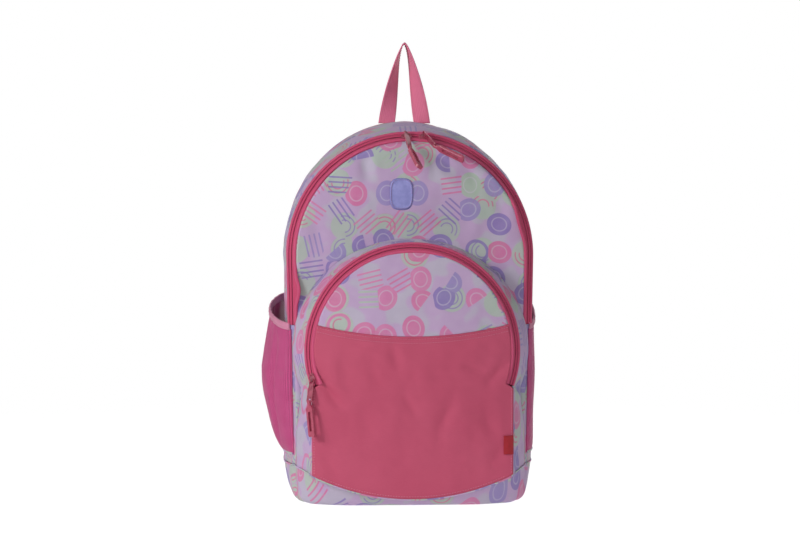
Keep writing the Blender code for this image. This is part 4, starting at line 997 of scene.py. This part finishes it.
def padded_face(x, z, share):
    """Back pad: channels between the quilting lines, flat along the spine and its outline and
    under the straps' tabs."""
    channel = np.abs(np.sin(np.pi * (z - QUILT_LOW) / QUILT_PITCH)) ** 0.55
    spine = smoothstep((np.abs(x) - 0.006) / 0.012)
    tabs = 1.0
    for tab_x, tab_z, wide, high in ((0.046, 0.4175, 0.024, 0.022), (0.120, 0.017, 0.024, 0.026)):
        near = smoothstep((np.abs(np.abs(x) - tab_x) - wide * 0.75) / 0.012)
        tabs = np.minimum(tabs, np.maximum(near, smoothstep((np.abs(z - tab_z) - high * 0.8)
                                                            / 0.012)))
    inside = smoothstep((z - 0.050) / 0.02) * smoothstep((0.400 - z) / 0.03)
    swell = 0.0042 * channel * spine * inside + 0.0004 * ripple(x, z, 0.03, 21)
    return BACK_FACE + np.maximum(swell * tabs * (1 - share ** 6), 0)


def make_back():
    pad, _ = panel("back_pad", back_outline(0.0023), padded_face, PINK,
                   ("back_panel",), 70)
    ring = back_outline(0.0012)
    piping("back_piping", places(ring[:, 0], BACK_Y - 0.0006, ring[:, 1]), BACKWARD, 0.0017,
           ZIP_TAPE, 0.9, True)
    for i in range(9):
        level = QUILT_LOW + QUILT_PITCH * (i + 1)
        reach = float(np.interp(level, [0.05, ARCH_Z, ARCH_Z + 0.09], [0.128, 0.133, 0.095]))
        for name, side in SIDES:
            path = places(side * np.linspace(0.016, reach, 60), BACK_FACE + 0.0002, level)
            stitches("quilting_%s_%d" % (name, i), path, BACKWARD, DARK_THREAD)
    for name, inset, behind, wall, finish, slot, node in (
            ("foam_core", 0.0054, 0.0018, 0.0078, FOAM, "foam", "back_foam"),
            ("lining_cloth", 0.0034, 0.0101, 0.0009, LINING, "lining", "back_lining")):
        panel(name, back_outline(inset), lambda x, z, share: BACK_FACE - behind, finish,
              (node,), 24, wall)


# ---------------------------------------------------------------- mesh pockets
def mesh_rim(y):
    return RIM_FRONT + (RIM_REAR - RIM_FRONT) * (y - MESH_FRONT) / (MESH_REAR - MESH_FRONT)


GATHERS = 62.0


def mesh_bulge(swell, y, height):
    """Fullness of a mesh pocket: a sine to the 0.6 from front to back, rising from the foot to
    its fullest at 62 % of the height and drawn in by 42 % at the rim."""
    share = (y - MESH_FRONT) / (MESH_REAR - MESH_FRONT)
    rise = np.sin(np.pi / 2 * np.minimum(height / 0.62, 1)) ** 0.7
    drawn = 1 - 0.42 * np.maximum(0, (height - 0.62) / 0.38)
    return swell * hump(share, 0.6) * rise * drawn


def make_mesh_pockets():
    for name, side in SIDES:
        swell = MESH_SWELL[name]
        full = swell / MESH_SWELL["left"]
        y = np.linspace(MESH_FRONT, MESH_REAR, 110)[:, None]
        height = np.linspace(0, 1, 90)[None]
        z = MESH_FOOT + (mesh_rim(y) - MESH_FOOT) * height
        share = (y - MESH_FRONT) / (MESH_REAR - MESH_FRONT)
        held = hump(share, 0.5) * hump(height, 0.4)
        gathers = 0.0008 * np.sin(share * GATHERS) * bell(height, 1, 0.16)
        fold = (-0.0088 * bell(y, -0.040 + 0.014 * (1 - height), 0.0045)
                * hump(height / 0.93, 0.5))
        slack = 0.0012 * ripple(y, z, 0.05, 31 + side) + fold
        stand = 0.0008 + mesh_bulge(swell, y, height) + full * held * (slack + gathers)
        x = side * (side_line(y, z) + np.maximum(stand, 0.0007))
        cloth("mesh_pocket_" + name, places(x, y, z), places(y * (1 + 0.2 * full), z), NET,
              ("side_mesh_" + name,), 0.0005, (0, 0, 0.14))
        across = np.linspace(0, 1, 7)[None]
        rim_x = side * (side_line(y, mesh_rim(y)) + 0.0017 + mesh_bulge(swell, y, 1.0)
                        + full * 0.0005 * np.sin(share * GATHERS) * hump(share, 0.5))
        points = places(rim_x + side * 0.0006 * hump(across), y,
                        mesh_rim(y) - 0.0009 + 0.0087 * across)
        cloth("pocket_hem_" + name, points, places(y, 0.0075 * across), HEM,
              ("mesh_binding_" + name,), 0.0016, (0, 0, 0.22))
        out, y = side * LEVEL, y[:, 0]
        for row, lift in (("low", 0.0018), ("high", 0.0060)):
            path = places(rim_x[:, 0] + side * 0.0006, y, mesh_rim(y) + lift)
            stitches("hem_stitches_%s_%s" % (row, name), path, out, THREAD)
        foot = places(side * (side_line(y, MESH_FOOT) + 0.0009), y, MESH_FOOT)
        piping("mesh_foot_seam_" + name, foot, out, 0.0013, PRINT)
        z = np.linspace(MESH_FOOT, RIM_FRONT, 70)
        seam = places(side * (side_line(MESH_FRONT, z) + 0.0009), MESH_FRONT, z)
        piping("mesh_front_seam_" + name, seam, out, 0.0010, NET_EDGE)


def make_handle():
    """Loop whose webbing faces the front at both feet and turns edge-on towards its top."""
    t = np.linspace(-1, 1, 160)
    away = np.abs(t)
    turn = np.pi / 2 * (1 + np.sign(t) * away ** 2.4)
    route = places(LOOP_X * np.sign(t) * away ** 1.3, LOOP_Y,
                   LOOP_TOP_Z - (LOOP_TOP_Z - LOOP_FOOT_Z) * away ** 2.1)
    across = places(np.cos(turn), np.sin(turn), 0.0)
    normal = unit(np.cross(across, headings(route)))
    offset = np.linspace(-0.5, 0.5, 17) * LOOP_WIDTH
    bow = 0.0004 * np.cos(np.pi * offset / LOOP_WIDTH)
    points = (route[:, None] + across[:, None] * offset[None, :, None]
              + normal[:, None] * bow[None, :, None])
    cloth("handle", points, places(length_along(route)[:, None], offset[None]), HANDLE,
          ("haul_loop",), BAND_WALL, (0, -5, 0.5), 0.0, "haul")
    for name, share in (("inner", -0.40), ("outer", 0.40)):
        path = route + across * LOOP_WIDTH * share + normal * 0.0009
        stitches("handle_stitches_" + name, path[4:-4], normal[4:-4], THREAD, "haul")


# ---------------------------------------------------------------- shoulder straps
STRAP_ROUTE = ((0.0480, 0.0905, 0.3900), (0.0500, 0.1060, 0.3660), (0.0590, 0.1190, 0.3250),
               (0.0740, 0.1250, 0.2800), (0.0880, 0.1230, 0.2300), (0.0960, 0.1140, 0.1850),
               (0.0985, 0.1010, 0.1480))
STRAP_TOP, STRAP_FOOT = np.array([0.0460, 0.0754, 0.4085]), np.array([0.1200, 0.0773, 0.0330])
STRAP_WIDTH, LOCK_HEIGHT, LOCK_WALL, LOCK_DROP = 0.0600, 0.0300, 0.0040, 0.0070
QUILT_SHARE = 0.42


def curved(points, steps):
    """Catmull-Rom curve through the points."""
    points = np.asarray(points, dtype=float)
    ends = np.vstack([2 * points[0] - points[1], points, 2 * points[-1] - points[-2]])
    t = np.linspace(0, 1, steps, endpoint=False)[:, None]
    runs = [0.5 * (2 * b + (c - a) * t + (2 * a - 5 * b + 4 * c - d) * t ** 2
                   + (3 * b - a - 3 * c + d) * t ** 3)
            for a, b, c, d in zip(ends, ends[1:], ends[2:], ends[3:])]
    return np.vstack(runs + [points[-1:]])


def crossing(ahead):
    """Directions across a band that runs ahead, and away from the back."""
    across = unit(np.cross(ahead, BACKWARD))
    out = np.cross(across, ahead)
    return across, out * np.sign(out[..., 1:2])


def coordinates(mesh):
    place = np.empty(len(mesh.vertices) * 3, dtype=np.float32)
    mesh.vertices.foreach_get("co", place)
    return place.reshape(-1, 3)


def stuffed(name, mesh, held, pressure, cap):
    """Lets a closed blank swell under pressure for twenty frames, its held points fixed.

    The blank is simulated as cloth without gravity; each point's movement is capped, so the pad
    stays near the size of its solid, and the result becomes the mesh.
    """
    piece = linked(name, mesh)
    pins = piece.vertex_groups.new(name="held")
    for i in np.flatnonzero(held):
        pins.add([int(i)], 1.0, "REPLACE")
    fabric = piece.modifiers.new("fabric", "CLOTH")
    for setting, value in (("use_pressure", True), ("uniform_pressure_force", pressure),
                           ("vertex_group_mass", "held"), ("quality", 6),
                           ("tension_stiffness", 12.0), ("compression_stiffness", 4.0),
                           ("bending_stiffness", 0.05)):
        setattr(fabric.settings, setting, value)
    fabric.settings.effector_weights.gravity = 0.0
    fabric.collision_settings.use_collision = False
    fabric.point_cache.frame_start, fabric.point_cache.frame_end = 1, 20
    for number in range(1, 21):
        bpy.context.scene.frame_set(number)
    rest = coordinates(mesh)
    graph = bpy.context.evaluated_depsgraph_get()
    shift = coordinates(piece.evaluated_get(graph).data) - rest
    piece.modifiers.remove(fabric)
    far = np.maximum(np.linalg.norm(shift, axis=1, keepdims=True), 1e-9)
    mesh.vertices.foreach_set("co", (rest + shift * np.minimum(1.0, cap / far)).ravel())
    mesh.update()
    bpy.context.scene.frame_set(1)
    return piece


def make_strap(name, side):
    """Pad with bound edges and two lengthwise quilting lines, its webbing and its tabs."""
    body = "strap_" + name
    route = curved(STRAP_ROUTE, 16) * [side, 1.0, 1.0]
    t = np.linspace(0, 1, len(route))
    across, out = crossing(headings(route))
    narrow = STRAP_WIDTH * 0.52
    ease = (np.sin(np.pi / 2 * np.minimum(t / 0.18, 1.0))
            * np.sin(np.pi / 2 * np.minimum((1 - t) / 0.22, 1.0)))
    half = (narrow + (STRAP_WIDTH - narrow) * ease) / 2
    wide, high = section(40, 0.55, 0.7)
    high = high * (1 - 0.55 * bell(np.abs(wide), QUILT_SHARE, 0.07))
    tall = 0.0042 * hump(np.clip(t, 0.004, 0.996), 0.35)
    points = pointed(route[:, None] + across[:, None] * (half[:, None] * wide)[..., None]
                     + out[:, None] * (tall[:, None] * high)[..., None], route)
    flat = places(np.linspace(0, 0.30, len(points))[:, None], (wide * STRAP_WIDTH / 2)[None])
    mesh = welded(grid_mesh("shoulder_pad_" + name, points, flat, ring_v=True), closed=True)
    place = coordinates(mesh)
    near = np.argmin(np.linalg.norm(place[:, None] - route[None], axis=2), axis=1)
    off = np.abs(np.einsum("ij,ij->i", place - route[near], across[near]) / half[near])
    held = (off > 0.93) | (np.abs(off - QUILT_SHARE) < 0.05) | (near < 3) | (
        near > len(route) - 4)
    pad = stuffed("shoulder_pad_" + name, mesh, held, 4.0, 0.0030)
    smooth = pad.modifiers.new("smooth", "SUBSURF")
    smooth.levels = smooth.render_levels = 1
    dressed(pad, PRINT, ("strap_pad_" + name,), body)
    for edge, share in (("inner", -1), ("outer", 1)):
        piping("pad_binding_%s_%s" % (edge, name), route + across * (half * share)[:, None], out,
               0.0019, ZIP_TAPE, body=body)
        for face, turn in (("rear", 1), ("front", -1)):
            path = (route + across * (half * share * QUILT_SHARE)[:, None]
                    + out * (turn * 0.0024))
            stitches("pad_quilting_%s_%s_%s" % (edge, face, name), path[4:-4], turn * out[4:-4],
                     DARK_THREAD, body, 0.0040, 0.0027)
    make_strap_webbing(name, side, route, body)


def webbing_piece(name, route, across, node, body, wall=BAND_WALL):
    """Band of webbing: a flat closed tube with squared edges along a route."""
    side = unit(np.broadcast_to(across, route.shape))
    up = unit(np.cross(side, headings(route)))
    mesh = tube_mesh(name, route, side, up, WEBBING / 2, wall / 2, 26, 0.35)
    dressed(linked(name, mesh), STRAP, (node,), body)


def make_strap_webbing(name, side, pad, body):
    """Neck at the pad's top, loop that holds the ladder lock, webbing from the foot through the
    lock, and the tabs sewn to the back."""
    top, foot = (end * [side, 1.0, 1.0] for end in (STRAP_TOP, STRAP_FOOT))
    lead = unit(pad[1] - pad[0])
    neck = curved([top - [0, 0, 0.0008], top + [0, 0.0035, -0.0085], pad[0] - lead * 0.0006], 10)
    share = np.linspace(0, 1, len(neck))[:, None]
    webbing_piece("neck_webbing_" + name, neck, LEVEL * (1 - share) + crossing(lead)[0] * share,
                  "strap_neck_" + name, body)
    down = unit(pad[-1] - pad[-2])
    across, out = crossing(down)
    half = LOCK_HEIGHT / 2
    centre = pad[-1] + down * (LOCK_DROP + half)

    def at(up, outward):
        return centre - down * up + out * outward

    gap, bend = 0.0003, 0.0012
    layer = LOCK_WALL / 2 + gap + BAND_WALL / 2
    high, slot = half + LOCK_DROP - 0.0006, half - 0.0085
    # through the lock's top slot
    around = ((high, layer), (half - 0.002, layer), (slot + bend, layer), (slot, layer - bend))
    loop = curved([at(*step) for step in around]
                  + [at(up, -outward) for up, outward in around[::-1]], 5)
    webbing_piece("lock_loop_" + name, loop, across, "strap_loop_" + name, body)
    # the webbing goes over the lock's upper bar and back under its lower one
    back = layer + BAND_WALL + gap
    bar_top, bar_low = half - 0.0115, -half + 0.0145
    over, under, turn = bar_top + 0.0013, bar_low - 0.0013, 0.0008
    below = -half - 0.004
    threaded = ((below, -back), (over - turn, -back), (over, -back + turn), (over, layer - turn),
                (over - turn, layer), (under + turn, layer), (under, layer - turn),
                (under, -layer + turn), (under - turn, -layer), (below, -layer))
    route = [foot + [0, 0, 0.0008]] + [at(*step) for step in threaded]
    fall = unit(route[0] - route[1])
    route += [route[-1] + fall * 0.055 * share + np.array([0, 0.006 * share, 0])
              for share in (0.5, 1.0)]
    route = resampled(np.array(route), 190)
    turned = smoothstep(np.linalg.norm(route - foot, axis=1) / 0.05)[:, None]
    webbing_piece("lock_webbing_" + name, route, LEVEL * (1 - turned) + across * turned,
                  "strap_webbing_" + name, body)
    wall, sunk = 0.0030, 0.0003
    for kind, place, low, tall, y in (
            ("top", top[0], STRAP_TOP[2], 0.0180, BACK_FACE + sunk),
            ("foot", foot[0], 0.0008, STRAP_FOOT[2] - 0.0008, BACK_Y + sunk)):
        z = np.linspace(low + 0.0004, low + tall - 0.0004, 24)
        webbing_piece("%s_tab_%s" % (kind, name), places(place, y + wall / 2, z), LEVEL,
                      "strap_%s_tab_%s" % (kind, name), "bag", wall)
        left, right, base, head = -0.009, 0.009, low + 0.003, low + tall - 0.003
        ring = resampled(np.array([(left, base), (right, head), (right, base), (left, head),
                                   (left, base)]), 90)
        stitches("%s_tab_cross_%s" % (kind, name),
                 places(place + ring[:, 0], y + wall + 0.0001, ring[:, 1]), BACKWARD, THREAD,
                 "bag", 0.0026, 0.0018)


# ---------------------------------------------------------------- trim
def make_trim():
    """Plain badge with a raised rim and stitches, and the side seam's plain ribbon tab."""
    middle = np.array([-0.0110, 0.3615])

    def badge_face(x, z, share):
        rim = 0.0007 * bell(share, 0.90, 0.045) + 0.0003 * np.exp(-(share / 0.55) ** 4)
        return front_face(middle[0], z) - 0.0016 - rim + 0.0006 * (share > 0.985)

    outline = middle + places(*section(120, 0.6)) * [0.0135, 0.0185]
    _, points = panel("badge", outline, badge_face, BADGE, ("patch",), 26, 0.0010, "flap")
    ring = middle + (points[2][:, [0, 2]] - middle) * 0.97
    stitches("badge_stitches", places(ring[:, 0], points[3, :, 1] - 0.0002, ring[:, 1]), FORWARD,
             DARK_THREAD, "flap", 0.0024, 0.0016, 0.00022)
    z = np.linspace(0.0622, 0.0838, 24)[:, None]
    reach = np.linspace(0, 1, 22)[None]
    x = 0.1163 - 0.0118 * reach
    y = pocket_face(x, z) - 0.0016 - 0.0008 * hump(reach)
    cloth("ribbon_tab", places(x, y, z), places(z, x), RIBBON, ("side_tab",), 0.0008,
          (0, 5, 0.07))


make_gusset()
make_sides()
make_bottom()
make_front()
make_main_zip()
make_pocket_zip()
make_pocket_faces()
make_pocket_side()
make_back()
make_mesh_pockets()
make_handle()
for strap, hand in SIDES:
    make_strap(strap, hand)
make_trim()

for node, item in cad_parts.items():
    kept = (ENAMEL if node.startswith(("slider", "puller")) else GRIP if node.startswith("pull_tip")
            else BUCKLE if node.startswith("ladder_lock") else None)
    if kept:
        item.data.materials.clear()
        item.data.materials.append(kept.material)


# ---------------------------------------------------------------- studio
def aimed(item, place, target):
    item.location = place
    item.rotation_euler = (target - place).to_track_quat("-Z", "Y").to_euler()


def make_studio():
    """Pale floor with a soft shadow, surroundings that the camera and reflections see as white,
    and four lamps: key, front, side and rear."""
    floor = bpy.data.meshes.new("floor")
    floor.from_pydata([(-4, -4, 0), (4, -4, 0), (4, 4, 0), (-4, 4, 0)], [], [(0, 1, 2, 3)])
    ground = linked("floor", floor)
    ground.location = (0, 0, -0.0002)
    pale = Finish("studio_floor", 0.9)
    for socket, value in (("Base Color", (0.93, 0.93, 0.93, 1)), ("Emission Color", (1, 1, 1, 1)),
                          ("Emission Strength", 0.78)):
        pale.shader.inputs[socket].default_value = value
    x, y, _ = pale.parts(pale.place())
    pale.feed("Alpha", (x * x + y * y).root().under(0.80, 0.35) * 0.5)
    floor.materials.append(pale.material)
    world = bpy.data.worlds.new("studio")
    bpy.context.scene.world = world
    world.use_nodes = True
    world.node_tree.nodes.clear()
    sky = Shading(world.node_tree)
    fill, white = (sky.node("Background", None, {"Color": colour, "Strength": strength})
                   for colour, strength in (((0.97, 0.98, 1.0, 1), 0.15), ((1, 1, 1, 1), 1.0)))
    ray = sky.node("LightPath")
    seen = ray
    for kind in ("Is Glossy Ray", "Is Transmission Ray"):
        seen = seen.op("MAXIMUM", ray.output(kind))
    sky.node("OutputWorld", None, (sky.node("MixShader", None, (seen, fill, white)),))
    for name, place, size, power in (("key", (-1.20, -0.98, 0.80), 0.5, 13.9),
                                     ("front", (-0.2, -2.4, 0.60), 1.4, 10.0),
                                     ("side", (1.8, -1.2, 1.1), 1.2, 4.0),
                                     ("rear", (0.6, 2.3, 0.45), 1.2, 14.0)):
        lamp = bpy.data.lights.new(name, "AREA")
        lamp.shape, lamp.size, lamp.energy = "DISK", size, power
        aimed(linked(name, lamp), Vector(place), Vector((0, 0, 0.24)))
    bpy.context.scene.view_settings.view_transform = "Standard"


def make_camera():
    """Camera at the photograph's angle: 3.2 degrees to the left, 3 above, 3 m away."""
    turn, lift = math.radians(-3.2), math.radians(3.0)
    target = Vector((-0.0088, 0.0, 0.262))
    away = Vector((math.sin(turn) * math.cos(lift), -math.cos(turn) * math.cos(lift),
                   math.sin(lift)))
    lens = bpy.data.cameras.new("camera")
    lens.sensor_width, lens.lens = 36.0, 113.4
    item = linked("camera", lens)
    aimed(item, target + away * 3.0, target)
    bpy.context.scene.camera = item


make_studio()
make_camera()
